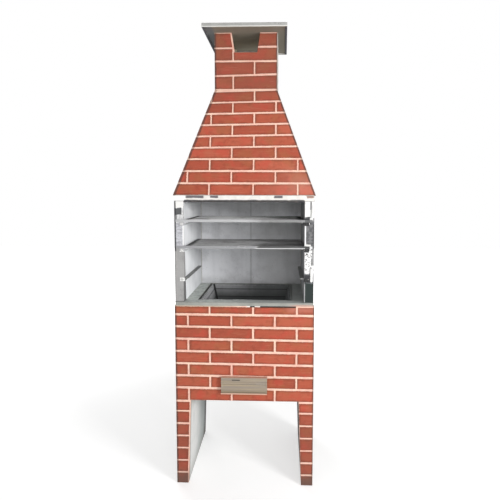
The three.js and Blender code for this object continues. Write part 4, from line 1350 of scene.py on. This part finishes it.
slants = (
    (hood_low.y + SHELL_THICKNESS, chimney_low.y + SHELL_THICKNESS),
    (hood_rear_high.y - SHELL_THICKNESS, chimney_rear_high.y - SHELL_THICKNESS),
)
corner_lines = []
for sign in (-1, 1):
    side, neck, inner = sign * side_x, sign * neck_x, sign * INNER
    corner_lines.append(upright(side, joint_front, 0.012, slab_low.z - 0.004))
    for foot_y, head_y in slants:
        corner_lines.append(line((side, foot_y, hood_low.z + 0.004), (neck, head_y, hood_high.z - 0.004)))
    for y in (chimney_low.y + CHIMNEY_THICKNESS, chimney_rear_high.y - CHIMNEY_THICKNESS):
        corner_lines.append(upright(neck, y, chimney_low.z + 0.004, chimney_high.z - 0.006))
    corner_lines += [
        upright(inner, back_y, slab_high.z + 0.004, wall_high.z - 0.004),
        upright(inner, back_y, LEG_HEAD + 0.002, slab_low.z - 0.004),
        upright(sign * (INNER - 0.0005), BACK_FACE, slab_high.z + 0.003, wall_high.z - 0.003),
    ]
corner_lines.append(line((-INNER, back_y, LEG_HEAD + 0.045), (INNER, back_y, LEG_HEAD + 0.045)))
bead_lines("corner_pointing", corner_lines, Bead_radius=0.0026, Waver=0.0016)

# The pit's right gap is filled, the left one has burnt out
fill_x, fill_z = PIT_HALF - PIT_GAP / 2, SLAB_TOP - PIT_GAP / 2 - COAT
pit_fill = line((fill_x, PIT_FRONT + 0.004, fill_z), (fill_x, PIT_REAR - 0.004, fill_z))
bead_lines("pit_pointing", [pit_fill], Bead_radius=PIT_GAP / 2, Waver=0.0006, Swell=0.06)


# Floor, light and camera

FLOOR_HALF = 9.0
WORLD_LIGHT = 0.38


def floor_finish():
    """Pale floor that keeps the shadows: part lit, part plain to the camera and to reflections."""
    material = bpy.data.materials.new("pale_floor")
    material.use_nodes = True
    w = Wiring(material.node_tree)
    w.tree.nodes.clear()
    lit = w.add("ShaderNodeBsdfDiffuse", {"Color": (0.72, 0.72, 0.72, 1)})
    place = w.add("ShaderNodeTexCoord").outputs["Object"]
    away = w.add("ShaderNodeVectorMath", {0: place}, operation="LENGTH").outputs["Value"]
    plain = w.plus(w.times(w.rise(away, 0.9, 3.0), 0.5), 0.46)
    glow = w.add("ShaderNodeEmission", {"Color": (1, 1, 1, 1), "Strength": w.times(w.seen(), plain)})
    both = w.add("ShaderNodeAddShader", {0: lit, 1: glow})
    w.add("ShaderNodeOutputMaterial", {"Surface": both})
    return material


def add_floor():
    h = FLOOR_HALF
    mesh = bpy.data.meshes.new("floor")
    mesh.from_pydata([(-h, -h, 0), (h, -h, 0), (h, h, 0), (-h, h, 0)], [], [(0, 1, 2, 3)])
    mesh.materials.append(floor_finish())
    floor = new_object("floor", mesh)
    floor.location.z = cad_low.z


def add_world():
    """White to the camera, dimmer as a light."""
    world = bpy.data.worlds.new("studio")
    world.use_nodes = True
    bpy.context.scene.world = world
    w = Wiring(world.node_tree)
    w.tree.nodes.clear()
    strength = w.plus(w.times(w.seen(), 1.0 - WORLD_LIGHT), WORLD_LIGHT)
    sky = w.add("ShaderNodeBackground", {"Color": (1, 1, 1, 1), "Strength": strength})
    w.add("ShaderNodeOutputWorld", {"Surface": sky})


def add_lamp(name, place, target_height, size, power):
    lamp = bpy.data.lights.new(name, "AREA")
    lamp.size, lamp.energy = size, power
    holder = bpy.data.objects.new(name, lamp)
    holder.location = place
    aim = Vector((0.0, 0.0, target_height)) - Vector(place)
    holder.rotation_euler = aim.to_track_quat("-Z", "Y").to_euler()
    bpy.context.scene.collection.objects.link(holder)


add_floor()
add_world()
add_lamp("key", (3.0, -2.75, 1.75), 1.15, 1.1, 120)
add_lamp("front_fill", (0.7, -3.8, 1.5), 1.1, 1.6, 32)
add_lamp("left_fill", (-1.9, -3.4, 1.5), 1.1, 2.4, 14)
add_lamp("rear_fill", (-2.4, 3.4, 2.4), 1.1, 2.4, 70)

# Camera at the photograph's place: focal length and middle in pixels of the 500 x 500 frame
FRAME_PIXELS = 500
FOCAL_PIXELS = 456.0
MIDDLE = (268.06, 230.0)
CAMERA_PLACE = (0.1842, -2.1039, 1.4225)  # from the apron's face
YAW, PITCH, ROLL = 0.0342, -0.0847, 0.0021

camera = bpy.data.cameras.new("camera")
camera.sensor_width = 36.0
camera.lens = FOCAL_PIXELS / FRAME_PIXELS * camera.sensor_width
camera.shift_x = (FRAME_PIXELS / 2 - MIDDLE[0]) / FRAME_PIXELS
camera.shift_y = (MIDDLE[1] - FRAME_PIXELS / 2) / FRAME_PIXELS
camera_holder = bpy.data.objects.new("camera", camera)
bpy.context.scene.collection.objects.link(camera_holder)
forward = Vector((-math.sin(YAW) * math.cos(PITCH), math.cos(YAW) * math.cos(PITCH), math.sin(PITCH)))
level = Vector((math.cos(YAW), math.sin(YAW), 0.0))
upward = level.cross(forward)
right_axis = level * math.cos(ROLL) + upward * math.sin(ROLL)
up_axis = upward * math.cos(ROLL) - level * math.sin(ROLL)
turn = Matrix((right_axis, up_axis, -forward)).transposed().to_4x4()
place = Vector(CAMERA_PLACE) + Vector((0.0, FRONT, 0.0))
camera_holder.matrix_world = Matrix.Translation(place) @ turn
bpy.context.scene.camera = camera_holder
bpy.context.scene.view_settings.view_transform = "Standard"
